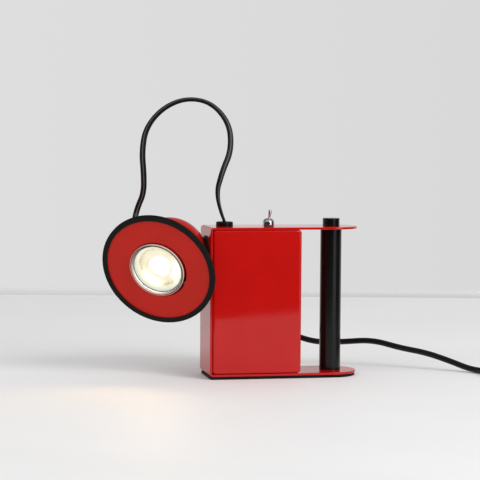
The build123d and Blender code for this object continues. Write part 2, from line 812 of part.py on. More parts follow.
rim_radius = disc_radius + rim_wall
rim_inner_radius = disc_radius - rim_overlap
with BuildPart() as rubber_rim:
    with BuildSketch(head_section) as rim_profile:
        with BuildLine():
            Polyline(
                (rim_inner_radius, disc_back - rim_lip),
                (rim_radius, disc_back - rim_lip),
                (rim_radius, disc_offset + rim_lip),
                (rim_inner_radius, disc_offset + rim_lip),
                (rim_inner_radius, disc_offset),
                (disc_radius, disc_offset),
                (disc_radius, disc_back),
                (rim_inner_radius, disc_back),
                close=True,
            )
        make_face()
        fillet(rim_profile.vertices().group_by(Axis.X)[-1], min(rim_rounding, 0.9 * rim_wall))
    revolve(axis=lens_axis)
save("rubber_rim", rubber_rim)

# ------------------------------------------------------------------ reflector lamp
lamp_front = disc_offset + lamp_proud
lamp_shoulder = lamp_front - lamp_rim_depth
lens_back = lamp_front - lens_recess - lens_thickness
with BuildPart() as lamp_body:
    with BuildSketch(head_section):
        with BuildLine():
            Line((lamp_lip, lamp_front), (lamp_radius, lamp_front))
            Line((lamp_radius, lamp_front), (lamp_radius, lamp_shoulder))
            Line((lamp_radius, lamp_shoulder), (lamp_radius - lamp_step, lamp_shoulder - lamp_step))
            ThreePointArc(
                (lamp_radius - lamp_step, lamp_shoulder - lamp_step),
                (lamp_waist_radius, lamp_waist),
                (lamp_neck_radius, lamp_neck),
            )
            Line((lamp_neck_radius, lamp_neck), (0, lamp_neck))
            Line((0, lamp_neck), (0, module_offset))
            Line((0, module_offset), (module_radius, module_offset))
            ThreePointArc(
                (module_radius, module_offset),
                (module_radius + bowl_swell, (module_offset + lens_back) / 2),
                (lamp_lip - lens_ledge, lens_back),
            )
            Polyline((lamp_lip - lens_ledge, lens_back), (lamp_lip, lens_back), (lamp_lip, lamp_front))
        make_face()
    revolve(axis=lens_axis)
save("lamp_body", lamp_body)

rise = lens_back + lens_thickness        # flat front of the lens
bump_curve = (lens_bump_radius**2 + lens_bump_height**2) / (2 * lens_bump_height)
with BuildPart() as lamp_lens:
    with BuildSketch(head_section):
        with BuildLine():
            Line((0, lens_back), (lamp_lip - thread_clearance, lens_back))
            Line((lamp_lip - thread_clearance, lens_back), (lamp_lip - thread_clearance, rise))
            Line((lamp_lip - thread_clearance, rise), (lens_bump_radius, rise))
            RadiusArc((lens_bump_radius, rise), (0, rise + lens_bump_height), -bump_curve)
            Line((0, rise + lens_bump_height), (0, lens_back))
        make_face()
    revolve(axis=lens_axis)
save("lamp_lens", lamp_lens)

with BuildPart() as lamp_module:
    with BuildSketch(across_lens(module_offset)):
        Circle(module_radius - coil_play)
    extrude(amount=module_height)
    with BuildSketch(across_lens(module_offset + module_height)):
        Circle(module_radius / 3)
    extrude(amount=module_height / 2)
save("lamp_module", lamp_module)

with BuildPart() as lamp_foot_block:
    with BuildSketch(across_lens(lamp_neck)):
        RectangleRounded(lamp_foot_length, lamp_foot_width, holder_corner)
    extrude(amount=lamp_foot - lamp_neck)
save("lamp_foot", lamp_foot_block)

pin_list = []
for side in (-1, 1):
    with BuildPart() as lamp_pin:
        with BuildSketch(across_lens(lamp_foot)):
            with Locations((side * lamp_pin_pitch / 2, 0)):
                Circle(lamp_pin_radius)
        extrude(amount=-lamp_pin_length)
    pin_list.append(lamp_pin.part)
pieces("lamp_pins", pin_list)

# ------------------------------------------------------------------ lamp holder and its strap
holder_top = lamp_foot - strap_sheet
with BuildPart() as lamp_holder:
    with BuildSketch(across_lens(lamp_foot)):
        RectangleRounded(holder_length, holder_width, holder_corner)
    extrude(amount=-(holder_height + strap_sheet))
    with BuildSketch(across_lens(holder_top)):
        with Locations((holder_screw_pitch / 2, 0), (-holder_screw_pitch / 2, 0)):
            Circle(holder_flange_radius)
        Rectangle(holder_screw_pitch, 2 * holder_flange_radius)
    extrude(amount=-holder_flange)
    with BuildSketch(across_lens(lamp_foot)):
        with Locations((lamp_pin_pitch / 2, 0), (-lamp_pin_pitch / 2, 0)):
            Circle(lamp_pin_radius + thread_clearance)
    extrude(amount=-(lamp_pin_length + hole_clearance), mode=Mode.SUBTRACT)
    with BuildSketch(across_lens(holder_top)):
        with Locations((holder_screw_pitch / 2, 0), (-holder_screw_pitch / 2, 0)):
            Circle(holder_screw_radius + hole_clearance)
    extrude(amount=-holder_flange, mode=Mode.SUBTRACT)
save("lamp_holder", lamp_holder)

strap_ring_outer = collar_inner_radius - thread_clearance
strap_foot_x = strap_plate_length / 2
arm_x = sqrt(strap_ring_outer**2 - (strap_width / 2) ** 2)
with BuildPart() as holder_strap:
    with BuildSketch(across_lens(collar_back)):
        Circle(strap_ring_outer)
        Circle(strap_ring_outer - strap_sheet, mode=Mode.SUBTRACT)
    extrude(amount=strap_ring_height)
    with BuildSketch(head_section):
        for side in (-1, 1):
            with BuildLine():
                Polyline(
                    (side * arm_x, collar_back + strap_ring_height),
                    (side * (arm_x - strap_sheet), collar_back + strap_ring_height),
                    (side * (arm_x - strap_sheet), collar_back),
                    (side * (strap_foot_x - strap_sheet), lamp_foot),
                    (side * strap_foot_x, holder_top),
                    (side * arm_x, collar_back),
                    close=True,
                )
            make_face()
    extrude(amount=strap_width / 2, both=True)
    with BuildSketch(across_lens(lamp_foot)):
        RectangleRounded(strap_plate_length, strap_plate_width, holder_corner)
        RectangleRounded(holder_length + 0.4, holder_width + 0.4, holder_corner, mode=Mode.SUBTRACT)
        with Locations((holder_screw_pitch / 2, 0), (-holder_screw_pitch / 2, 0)):
            Circle(holder_screw_radius + thread_clearance, mode=Mode.SUBTRACT)
    extrude(amount=-strap_sheet)
save("holder_strap", holder_strap)

holder_screw_list = []
for side in (-1, 1):
    seat = across_lens(holder_top - holder_flange)
    with BuildPart() as holder_screw:
        with BuildSketch(seat):
            with Locations((side * holder_screw_pitch / 2, 0)):
                Circle(holder_head_radius)
        extrude(amount=-holder_screw_radius)
        with BuildSketch(seat):
            with Locations((side * holder_screw_pitch / 2, 0)):
                Circle(holder_screw_radius)
        extrude(amount=holder_flange + strap_sheet + holder_screw_radius)
    holder_screw_list.append(holder_screw.part)
pieces("holder_screws", holder_screw_list)

# ------------------------------------------------------------------ gland at the back of the ball
flange_seat = sqrt(ball_radius**2 - head_gland_radius**2)
with BuildPart() as head_gland:
    with BuildSketch(gland_plane(flange_seat)):
        Circle(head_gland_radius)
    extrude(amount=ball_radius - flange_seat + head_gland_flange)
    with BuildSketch(gland_plane(ball_radius + head_gland_flange)):
        Circle(head_gland_radius - 1.2)
    with BuildSketch(gland_plane(ball_radius + head_gland_reach)):
        Circle(head_gland_tip_radius)
    loft()
    with Locations(Location(tuple(ball_centre))):
        Sphere(ball_radius, mode=Mode.SUBTRACT)
    with BuildSketch(gland_plane(ball_radius + 0.5)):
        Circle(head_gland_shank_radius)
    extrude(amount=-(head_gland_shank + 0.5))
save("head_gland", head_gland)

nut_seat = sqrt(ball_inner_radius**2 - head_gland_nut_radius**2)
with BuildPart() as head_gland_nut:
    with BuildSketch(gland_plane(nut_seat)):
        RegularPolygon(head_gland_nut_radius, 6)
        Circle(head_gland_shank_radius + thread_clearance, mode=Mode.SUBTRACT)
    extrude(amount=-head_gland_nut_height)
save("head_gland_nut", head_gland_nut)

# ------------------------------------------------------------------ cord from the box to the head
head_route = [
    (gland_x, 0, top_z + gland_height),
    (-58.5, 2.5, 154.5),
    (-53.0, 4.0, 178.0),
    (-43.5, 7.5, 196.0),
    (-45.5, 10.5, 219.5),
    (-60.0, 15.5, 237.5),
    (-81.0, 21.5, 241.0),
    (-100.5, 27.5, 232.5),
    (-114.5, 33.5, 215.0),
    (-117.0, 39.5, 194.0),
    (-114.5, 44.0, 174.0),
    (-113.5, 51.0, 157.0),
    (-118.0, 57.0, 144.5),
    (-121.0, 55.0, 133.5),
    tuple(ball_centre + gland_dir * (ball_radius + head_gland_reach + 14.0)),
    tuple(ball_centre + gland_dir * (ball_radius + head_gland_reach)),
]
head_cord = cord_tube("head_cord", head_route, head_cord_radius)
save("head_cord", head_cord)

# ------------------------------------------------------------------ mains cord, strain relief, coil and plug
relief_tip_y = half_depth + relief_length
with BuildPart() as rear_relief:
    with BuildSketch(Plane.XY.offset(relief_z)):
        with BuildLine():
            Polyline(
                (relief_x, cover_y - relief_lock),
                (relief_x + relief_lock_radius - 0.8, cover_y - relief_lock),
                (relief_x + relief_lock_radius, cover_y),
                (relief_x + relief_shank_radius, cover_y),
                (relief_x + relief_shank_radius, half_depth),
                (relief_x + relief_flange_radius, half_depth),
                (relief_x + relief_flange_radius, half_depth + relief_flange),
                (relief_x + relief_root_radius, half_depth + relief_flange),
                (relief_x + relief_tip_radius, relief_tip_y),
                (relief_x, relief_tip_y),
                close=True,
            )
        make_face()
        groove_pitch = (relief_length - relief_flange) / (relief_groove_count + 1)
        for n in range(relief_groove_count):
            groove_y = half_depth + relief_flange + (n + 1) * groove_pitch
            share = (n + 1) / (relief_groove_count + 1)
            groove_x = relief_root_radius + (relief_tip_radius - relief_root_radius) * share
            with Locations((relief_x + groove_x, groove_y)):
                Rectangle(2 * relief_groove, 1.6, mode=Mode.SUBTRACT)
    revolve(axis=Axis((relief_x, 0, relief_z), (0, 1, 0)))
save("rear_relief", rear_relief)

coil_level = tie_thickness
turn_step = 2 * mains_radius
layer_step = turn_step * sin(radians(60))
lower_reach = (lower_turns - 1) / 2 * turn_step
upper_reach = (upper_turns - 1) / 2 * turn_step
outer_turn = coil_mean_radius + lower_reach
mains_route = [
    (relief_x, relief_tip_y, relief_z),
    (relief_x, relief_tip_y + 22.5, relief_z),
    (relief_x + 14.0, 88.5, 28.0),
    (-2.5, 95.5, 29.5),
    (24.5, 86.0, 28.0),
    (47.5, 72.0, 19.5),
    (72.0, 60.0, 21.0),
    (96.0, 46.0, 24.0),
    (118.0, 32.0, 18.0),
    (138.0, 19.0, 15.0),
    (156.0, 5.0, 9.0),
    (171.0, -7.5, 2.9),
    (180.0, -24.0, 2.9),
    (coil_x - outer_turn, coil_y, coil_level + mains_radius),
]
mains_cord = cord_tube("mains_cord", mains_route, mains_radius)
save("mains_cord", mains_cord)


def coil_outline(gap):
    """Half section of the coil in the sketch at hand, wider at the foot, grown by a gap."""
    low = coil_level + mains_radius
    high = low + layer_step
    grown = mains_radius + gap
    with BuildLine() as outline:
        Polyline(
            (coil_mean_radius - lower_reach - grown, coil_level),
            (coil_mean_radius + lower_reach + grown, coil_level),
            (coil_mean_radius + lower_reach + grown, low + mains_radius / 2),
            (coil_mean_radius + upper_reach + grown, high + grown / 2),
            (coil_mean_radius + upper_reach + grown / 2, high + grown),
            (coil_mean_radius - upper_reach - grown / 2, high + grown),
            (coil_mean_radius - upper_reach - grown, high + grown / 2),
            (coil_mean_radius - lower_reach - grown, low + mains_radius / 2),
            close=True,
        )
    make_face(outline.edges())


coil_section = Plane(origin=(coil_x, coil_y, 0), x_dir=(1, 0, 0), z_dir=(0, -1, 0))
with BuildPart() as cord_coil:
    with BuildSketch(coil_section):
        coil_outline(0)
    revolve(axis=Axis((coil_x, coil_y, 0), (0, 0, 1)))
save("cord_coil", cord_coil)

tie_turn = radians(tie_angle)
tie_section = Plane(
    origin=(coil_x, coil_y, 0),
    x_dir=(cos(tie_turn), sin(tie_turn), 0),
    z_dir=(sin(tie_turn), -cos(tie_turn), 0),
)
with BuildPart() as coil_tie:
    with BuildSketch(tie_section):
        coil_outline(tie_gap + tie_thickness)
        with Locations((coil_mean_radius, tie_thickness / 2)):
            Rectangle(2 * (lower_reach + mains_radius + tie_gap + tie_thickness), tie_thickness)
        with BuildSketch(mode=Mode.SUBTRACT):
            coil_outline(tie_gap)
    extrude(amount=tie_width / 2, both=True)
save("coil_tie", coil_tie)

plug_z = plug_height / 2
tail_route = [
    (coil_x + outer_turn, coil_y, coil_level + mains_radius),
    (coil_x + outer_turn, -24.0, 3.1),
    (254.5, -6.0, 4.5),
    (plug_x, 8.0, plug_z),
    (plug_x, plug_tail_y, plug_z),
]
cord_tail = cord_tube("cord_tail", tail_route, mains_radius)
save("cord_tail", cord_tail)

plug_back_y = plug_tail_y + plug_boot
plug_front_y = plug_back_y + plug_length


def plug_plane(y):
    """Plane square to the plug's length, on its axis."""
    return Plane(origin=(plug_x, y, plug_z), x_dir=(1, 0, 0), z_dir=(0, 1, 0))


with BuildPart() as plug_body:
    with BuildSketch(plug_plane(plug_back_y)):
        RectangleRounded(plug_neck_width, plug_height - 2 * plug_rounding, plug_boot_radius)
    with BuildSketch(plug_plane(plug_front_y - plug_face)):
        RectangleRounded(plug_width, plug_height, plug_corner)
    loft()
    with BuildSketch(plug_plane(plug_front_y - plug_face)):
        RectangleRounded(plug_width, plug_height, plug_corner)
    extrude(amount=plug_face)
    fillet(plug_body.faces().sort_by(Axis.Y)[-1].edges(), plug_rounding)
    with BuildSketch(plug_plane(plug_tail_y)):
        Circle(mains_radius + boot_wall)
    with BuildSketch(plug_plane(plug_back_y)):
        Circle(plug_boot_radius)
    loft()
save("plug_body", plug_body)

plug_pin_list = []
for side in (-1, 1):
    with BuildPart() as plug_pin:
        with BuildSketch(plug_plane(plug_front_y)):
            with Locations((side * plug_pin_pitch / 2, 0)):
                Circle(plug_pin_radius)
        extrude(amount=plug_pin_length)
        fillet(plug_pin.faces().sort_by(Axis.Y)[-1].edges(), plug_pin_radius / 2)
    plug_pin_list.append(plug_pin.part)
pieces("plug_pins", plug_pin_list)
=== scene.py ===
# %% [markdown]
# # Tabletop searchlight: materials, cords, lamp and light
#
# The CAD model comes in from model.glb as named nodes, with its record from model.json. This
# script adds what CAD leaves plain. It gives every node a finish, makes the cords as one smooth
# line each, builds the reflector lamp's glass and lights a small studio.
# Everything is in metres, in the frame of the CAD model: +X towards the handle, +Y to the back,
# +Z up, and the origin on the table under the middle of the base.

# %% Load the imported frame
import json

import bmesh
import bpy
import numpy as np
from mathutils import Matrix, Vector


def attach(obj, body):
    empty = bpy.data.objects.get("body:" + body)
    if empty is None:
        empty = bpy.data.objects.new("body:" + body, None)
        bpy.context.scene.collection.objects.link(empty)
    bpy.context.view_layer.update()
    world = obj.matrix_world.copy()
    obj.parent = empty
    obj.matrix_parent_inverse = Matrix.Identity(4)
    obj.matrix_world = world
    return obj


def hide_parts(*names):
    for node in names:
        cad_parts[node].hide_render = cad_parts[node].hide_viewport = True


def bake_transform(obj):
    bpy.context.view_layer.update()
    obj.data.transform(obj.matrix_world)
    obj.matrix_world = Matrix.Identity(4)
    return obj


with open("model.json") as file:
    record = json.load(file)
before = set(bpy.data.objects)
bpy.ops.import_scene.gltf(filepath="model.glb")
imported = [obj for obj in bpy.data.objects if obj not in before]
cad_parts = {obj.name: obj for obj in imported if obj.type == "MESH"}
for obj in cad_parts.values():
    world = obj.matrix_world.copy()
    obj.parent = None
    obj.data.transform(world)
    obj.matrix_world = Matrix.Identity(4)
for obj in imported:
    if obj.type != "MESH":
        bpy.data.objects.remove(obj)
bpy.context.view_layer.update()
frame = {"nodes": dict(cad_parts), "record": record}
nodes = frame["nodes"]


# %% [markdown]
# ## The camera
#
# A long lens from a little above the table keeps the lamp's upright edges nearly parallel. The
# camera stands 1.6 m away, turned towards the handle, tipped down and very slightly rolled. Its
# axes are worked out from those three angles and put straight into its matrix, which avoids any
# doubt about the order of Euler turns.

# %% Camera
camera_place = Vector((-0.35876, -1.58495, 0.22091))
heading, tip, roll = np.radians((11.486, -3.625, 0.424))
focal_length = 140.233    # mm, on a sensor 36 mm wide


def placed(name, data):
    """New object of this data, in the scene."""
    piece = bpy.data.objects.new(name, data)
    bpy.context.scene.collection.objects.link(piece)
    return piece


def camera_matrix(place, heading, tip, roll):
    """World matrix: look along the heading and tip, then turn the two other axes by the roll."""
    ahead = Vector((np.sin(heading) * np.cos(tip), np.cos(heading) * np.cos(tip), np.sin(tip)))
    level = Vector((np.cos(heading), -np.sin(heading), 0.0))
    over = level.cross(ahead)
    right = np.cos(roll) * level + np.sin(roll) * over
    up = np.cos(roll) * over - np.sin(roll) * level
    matrix = Matrix((right, up, -ahead)).transposed().to_4x4()
    matrix.translation = place
    return matrix


camera_data = bpy.data.cameras.new("camera")
camera_data.lens = focal_length
camera_data.sensor_width = 36.0
camera = placed("camera", camera_data)
camera.matrix_world = camera_matrix(camera_place, heading, tip, roll)
bpy.context.scene.camera = camera
print("camera at", tuple(round(c, 3) for c in camera_place), "with", round(focal_length, 1), "mm")


# %% [markdown]
# ## Helpers for surfaces
#
# Every new piece is a grid of points worked out as one numpy array: a profile turned round an
# axis, or a section carried along a line. One function turns such a grid into a mesh, merges the
# points that meet at a pole, and marks edges sharper than a given angle so that flat and curved
# parts shade as they should.

# %% Grid meshes
same_point = 1e-6    # points nearer than this are merged


def mesh_from_grid(name, grid, wrap_rows=False, crease=35.0, groove=None):
    """Object whose faces join each point of a grid to the next in its row and in the row after.
    Each row closes on itself, and with wrap_rows the last row is joined to the first as well.
    A groove, if given, is one number per column that is kept as an attribute of the points."""
    rows, columns = grid.shape[:2]
    down = np.arange(rows if wrap_rows else rows - 1)[:, None]
    across = np.arange(columns)[None, :]
    down_next, across_next = (down + 1) % rows, (across + 1) % columns
    corners = (
        down * columns + across,
        down * columns + across_next,
        down_next * columns + across_next,
        down_next * columns + across,
    )
    faces = np.stack(np.broadcast_arrays(*corners), axis=-1).reshape(-1, 4)
    mesh = bpy.data.meshes.new(name)
    mesh.from_pydata(grid.reshape(-1, 3), [], faces.tolist())
    if groove is not None:
        mark = mesh.attributes.new("groove", "FLOAT", "POINT")
        mark.data.foreach_set("value", np.tile(groove, rows).astype(np.float32))
    clean = bmesh.new()
    clean.from_mesh(mesh)
    bmesh.ops.remove_doubles(clean, verts=clean.verts, dist=same_point)
    bmesh.ops.dissolve_degenerate(clean, edges=clean.edges, dist=same_point / 10)
    bmesh.ops.recalc_face_normals(clean, faces=clean.faces)
    clean.to_mesh(mesh)
    clean.free()
    mesh.shade_smooth()
    mesh.set_sharp_from_angle(angle=np.radians(crease))
    return placed(name, mesh)


def rounded_outline(corners, radii, steps=6):
    """Closed outline with each corner replaced by an arc that touches both of its sides.

    The arc starts radius / tan(half the corner's angle) from the corner along each side, and its
    points are the arc's centre plus the radius times the directions between its two ends."""
    corners = np.asarray(corners, float)
    outline = []
    for before, corner, after, radius in zip(
        np.roll(corners, 1, axis=0), corners, np.roll(corners, -1, axis=0), radii
    ):
        if radius <= 0:
            outline.append(corner[None])
            continue
        back = (before - corner) / np.linalg.norm(before - corner)
        onward = (after - corner) / np.linalg.norm(after - corner)
        half = np.arccos(np.clip(back @ onward, -1, 1)) / 2
        centre = corner + (back + onward) / np.linalg.norm(back + onward) * radius / np.sin(half)
        first = corner + back * radius / np.tan(half) - centre
        last = corner + onward * radius / np.tan(half) - centre
        turn = np.pi - 2 * half
        share = np.linspace(0, 1, steps + 1)[:, None]
        way = np.sin((1 - share) * turn) * first + np.sin(share * turn) * last
        outline.append(centre + way / np.sin(turn))
    return np.concatenate(outline)


def turned(name, outline, origin, axis, around, crease):
    """Surface of a (radius, height) outline turned round an axis: origin + height * axis
    + radius * (cos a * side + sin a * across) for every angle a. The outline starts and ends on
    the axis, so the surface is closed by its two poles."""
    axis = Vector(axis).normalized()
    side = axis.orthogonal().normalized()
    across = axis.cross(side)
    angle = np.linspace(0, 2 * np.pi, around, endpoint=False)
    ring = np.cos(angle)[:, None] * np.array(side) + np.sin(angle)[:, None] * np.array(across)
    outline = np.asarray(outline, float)
    grid = np.array(origin) + outline[:, None, :1] * ring[None] + outline[:, None, 1:] * np.array(axis)
    return mesh_from_grid(name, grid, crease=crease)


def carried(name, line, section, twist, groove):
    """Surface of a closed section carried along a line. At each point of the line one axis is
    square to the line and to the Y axis, the next is square to those two, and the section's
    own axes are these turned about the line by that point's twist. Its two ends are closed by
    rows that lie all on the line's ends."""
    ahead = np.gradient(line, axis=0)
    ahead /= np.linalg.norm(ahead, axis=1, keepdims=True)
    flat = np.cross(ahead, (0.0, 1.0, 0.0))
    flat /= np.linalg.norm(flat, axis=1, keepdims=True)
    upright = np.cross(ahead, flat)
    turn = np.asarray(twist)[:, None]
    wide = np.cos(turn) * flat + np.sin(turn) * upright
    deep = np.cos(turn) * upright - np.sin(turn) * flat
    grid = line[:, None] + section[None, :, :1] * wide[:, None] + section[None, :, 1:] * deep[:, None]
    first_end, last_end = (end[None, None] + 0 * grid[:1] for end in (line[0], line[-1]))
    grid = np.concatenate([first_end, grid, last_end])
    return mesh_from_grid(name, grid, crease=60.0, groove=groove)


print("helpers ready")


# %% [markdown]
# ## Cord routes
#
# A cord is one smooth line. Its route is a short list of places that the cord is pulled towards,
# and a NURBS spline of order 3 runs between them: it never kinks, and it stays inside the corners
# of the route. The line of the spline is read back from Blender, so that tubes, the twin cord and
# its pieces all follow the same curve.

# %% Splines
def spline_curve(name, route):
    """Curve object with one NURBS spline of order 3 that starts and ends on the route's ends."""
    data = bpy.data.curves.new(name, "CURVE")
    data.dimensions = "3D"
    data.resolution_u = 14
    spline = data.splines.new("NURBS")
    spline.points.add(len(route) - 1)
    spline.points.foreach_set("co", np.c_[route, np.ones(len(route))].ravel())
    spline.order_u = 3
    spline.use_endpoint_u = True
    return placed(name, data)


def line_of(curve):
    """Points down the middle of a curve that has no bevel, as an array."""
    mesh = bpy.data.meshes.new_from_object(curve)
    line = np.empty(len(mesh.vertices) * 3)
    mesh.vertices.foreach_get("co", line)
    bpy.data.meshes.remove(mesh)
    return line.reshape(-1, 3)


def length_of(line):
    """Sum of the steps between a line's points."""
    return float(np.linalg.norm(np.diff(line, axis=0), axis=1).sum())


# %% [markdown]
# ## The lamp head's place
#
# The head turns about the centre of its ball, which rests against the magnet on the frame's left
# side. The direction of the light and the gland at the back of the ball are worked out from the
# same few angles as in the CAD model, so the cord ends where the gland is.

# %% Head directions
ball_centre = Vector((-0.0991, 0.0, 0.1051))
azimuth, drop = np.radians((31.5, 23.5))
gland_turn, gland_back = np.radians((82.0, 35.0))
lens_dir = Vector((-np.sin(azimuth) * np.cos(drop), -np.cos(azimuth) * np.cos(drop), -np.sin(drop)))
above = (Vector((0, 0, 1)) - lens_dir * lens_dir.z).normalized()
beside = lens_dir.cross(above)
gland_dir = (above * np.cos(gland_turn) + beside * np.sin(gland_turn)) * np.cos(gland_back)
gland_dir = gland_dir - lens_dir * np.sin(gland_back)
gland_reach, lead_reach = 0.0411, 0.0551    # of the gland's tip and of the cord's straight lead
gland_tip = ball_centre + gland_dir * gland_reach
gland_lead = ball_centre + gland_dir * lead_reach
print("light points along", tuple(round(c, 3) for c in lens_dir))


# %% [markdown]
# ## Cord to the head
#
# A flat twin cord rises from the top plate, makes a free loop and comes down behind the disc into
# the head's gland. Its section is two round cores side by side with a shallow groove between them,
# and it turns about its own line as such a cord does: edge on at the plate, broadside at the
# bulge, and half turned over the top. The groove is also kept as an attribute of the mesh, so
# that the sheath's finish can paint a fine highlight line along it.
# The one line is cut into three pieces that meet exactly: the rising part, which stays with the
# base, the falling part down to a given height, and the last stretch into the gland.

# %% Head cord
head_route = np.array([
    (-0.0505, 0.0, 0.1345),
    (-0.0585, 0.0025, 0.1545),
    (-0.0519, 0.0040, 0.1780),
    (-0.0434, 0.0075, 0.1960),
    (-0.0446, 0.0105, 0.2193),
    (-0.0600, 0.0155, 0.2375),
    (-0.0810, 0.0215, 0.2410),
    (-0.1005, 0.0275, 0.2325),
    (-0.1145, 0.0335, 0.2150),
    (-0.1170, 0.0395, 0.1940),
    (-0.1145, 0.0440, 0.1740),
    (-0.1135, 0.0510, 0.1570),
    (-0.1180, 0.0570, 0.1445),
    (-0.1210, 0.0550, 0.1335),
    tuple(gland_lead),
    tuple(gland_tip),
])
twin_width, twin_depth = 0.0052, 0.0030
core_radius = twin_depth / 2
core_offset = (twin_width - twin_depth) / 2
groove_width, groove_share = 0.32, 0.34    # as shares of a core's radius
core_rounding = 2.2
section_angle = np.linspace(0, 2 * np.pi, 40, endpoint=False)
groove_depth = np.exp(-((np.cos(section_angle) / groove_width) ** 2))


def twin_section():
    """Outline of two circles side by side: in each direction the farther circle's edge, drawn in
    by a bell curve where the groove runs."""
    side = np.sign(np.cos(section_angle)) * core_offset
    side = side * np.clip(np.abs(np.cos(section_angle)) * core_rounding, 0, 1)
    across = side + core_radius * np.cos(section_angle)
    deep = core_radius * (1 - groove_share * groove_depth) * np.sin(section_angle)
    return np.stack([across, deep], axis=1)


def eased(place, stops):
    """Value at each place between (place, value) stops, with no corner at a stop: between two
    stops the share s of the way counts as s * s * (3 - 2 * s)."""
    at, value = np.array(stops, float).T
    left = np.clip(np.searchsorted(at, place, side="right") - 1, 0, len(at) - 2)
    share = np.clip((place - at[left]) / (at[left + 1] - at[left]), 0, 1)
    return value[left] + (value[left + 1] - value[left]) * share * share * (3 - 2 * share)


head_guide = spline_curve("head_guide", head_route)
head_line = line_of(head_guide)
bpy.data.objects.remove(head_guide)
walked = np.r_[0, np.cumsum(np.linalg.norm(np.diff(head_line, axis=0), axis=1))]
twist_stops = [(0.0, 80), (0.20, 5), (0.44, 66), (0.56, 56), (0.70, 14), (0.85, -8), (1.0, 0)]
head_twist = np.radians(eased(walked / walked[-1], twist_stops))
height = head_line[:, 2]
bend_height = 0.178    # the falling part ends where it comes down to this
apex = int(height.argmax())
fall = int(np.flatnonzero((height < bend_height) & (np.arange(len(height)) > apex))[0])
head_cuts = {
    "head_flex_rise": slice(0, apex + 1),
    "head_flex_fall": slice(apex, fall + 1),
    "head_flex_end": slice(fall, len(head_line)),
}
head_parts = {name: head_line[cut] for name, cut in head_cuts.items()}
head_flex = {}
for name, line in head_parts.items():
    head_flex[name] = carried(name, line, twin_section(), head_twist[head_cuts[name]], groove_depth)
    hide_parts("head_cord")
    print(name, "length", round(length_of(line), 4))


# %% [markdown]
# ## Mains cord
#
# The round mains cord comes out of the strain relief at the back, arches behind the handle tube
# and comes down on the table to the right. The rest of its 1.8 m is put away as for storage:
# seven and a half turns in two layers, held by a strap, with the plug lying beside the coil. A
# wound coil isn't a spiral: each turn keeps its radius and steps over by one cord's width near
# the end of the turn.

# %% Mains cord
cord_radius = 0.0026
coil_centre = np.array((0.222, -0.044))
coil_radius = 0.030
turn_step = 2 * cord_radius
layer_step = turn_step * np.sin(np.pi / 3)
coil_floor = 0.0008
lower_turns, upper_turns = 4, 3.5
step_share = 0.2    # part of a turn in which it steps over
points_per_turn = 24


def coil_route():
    """Route of the wound coil, counted in turns t from where the cord comes in at the left.

    The radius keeps its value for four fifths of a turn and then moves over by one step, inwards
    in the lower layer and outwards in the upper one, and the height rises once between them."""
    turns = np.arange(1, int((lower_turns + upper_turns) * points_per_turn) + 1) / points_per_turn
    shift = np.clip((turns % 1 - (1 - step_share)) / step_share, 0, 1)
    count = np.floor(turns + 1e-9) + shift * shift * (3 - 2 * shift)
    low = coil_radius + ((lower_turns - 1) / 2 - np.minimum(count, lower_turns - 1)) * turn_step
    high = coil_radius + (np.clip(count, lower_turns, None) - lower_turns - 1) * turn_step
    rise = np.clip(count - (lower_turns - 1), 0, 1)
    radius = low + (high - low) * rise
    height = coil_floor + cord_radius + layer_step * rise
    angle = np.pi + 2 * np.pi * turns
    return np.stack([
        coil_centre[0] + radius * np.cos(angle),
        coil_centre[1] + radius * np.sin(angle),
        height,
    ], axis=1)


mains_route = np.array([
    (-0.0420, 0.0480, 0.0270),
    (-0.0420, 0.0705, 0.0270),
    (-0.0280, 0.0885, 0.0280),
    (-0.0025, 0.0955, 0.0295),
    (0.0245, 0.0860, 0.0280),
    (0.0475, 0.0720, 0.0195),
    (0.0720, 0.0600, 0.0210),
    (0.0960, 0.0460, 0.0240),
    (0.1180, 0.0320, 0.0180),
    (0.1380, 0.0190, 0.0150),
    (0.1560, 0.0050, 0.0090),
    (0.1710, -0.0075, 0.0029),
    (0.1800, -0.0240, 0.0029),
    (0.1842, -0.0440, 0.0034),
])
tail_route = np.array([
    (0.2598, -0.0240, 0.0031),
    (0.2545, -0.0060, 0.0045),
    (0.2500, 0.0080, 0.00685),
    (0.2500, 0.0220, 0.00685),
])
mains_flex = spline_curve("mains_flex", np.concatenate([mains_route, coil_route(), tail_route]))
mains_length = length_of(line_of(mains_flex))
mains_flex.data.bevel_depth = cord_radius
mains_flex.data.bevel_resolution = 7
mains_flex.data.resolution_u = 8
mains_flex.data.use_fill_caps = True
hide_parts("mains_cord", "cord_coil", "cord_tail")


# %% [markdown]
# ## Strap round the coil
#
# A soft strap holds the turns together. Pulled tight, it takes the outline that is farthest out
# in every direction: for each angle that is the farthest turn's centre plus a radius in that
# direction, which gives arcs round the outer turns and straight runs between them.

# %% Coil strap
strap_angle = np.radians(205.0)
strap_thickness, strap_width = 0.0007, 0.0050
strap_play = 0.0002      # between the cord and the strap, and between the strap and the table
strap_edge = 0.92        # width of its outer face, as a share


def strap_outline(reach, steps=120):
    """Closed outline round all turns: for each direction, the farthest centre plus the reach."""
    centres = []
    for layer, count in enumerate((lower_turns, int(upper_turns))):
        radius = coil_radius + (np.arange(count) - (count - 1) / 2) * turn_step
        centres.append(np.c_[radius, np.full(count, coil_floor + cord_radius + layer * layer_step)])
    centres = np.concatenate(centres)
    angle = np.linspace(0, 2 * np.pi, steps, endpoint=False)
    ways = np.stack([np.cos(angle), np.sin(angle)], axis=1)
    return centres[(ways @ centres.T).argmax(axis=1)] + reach * ways


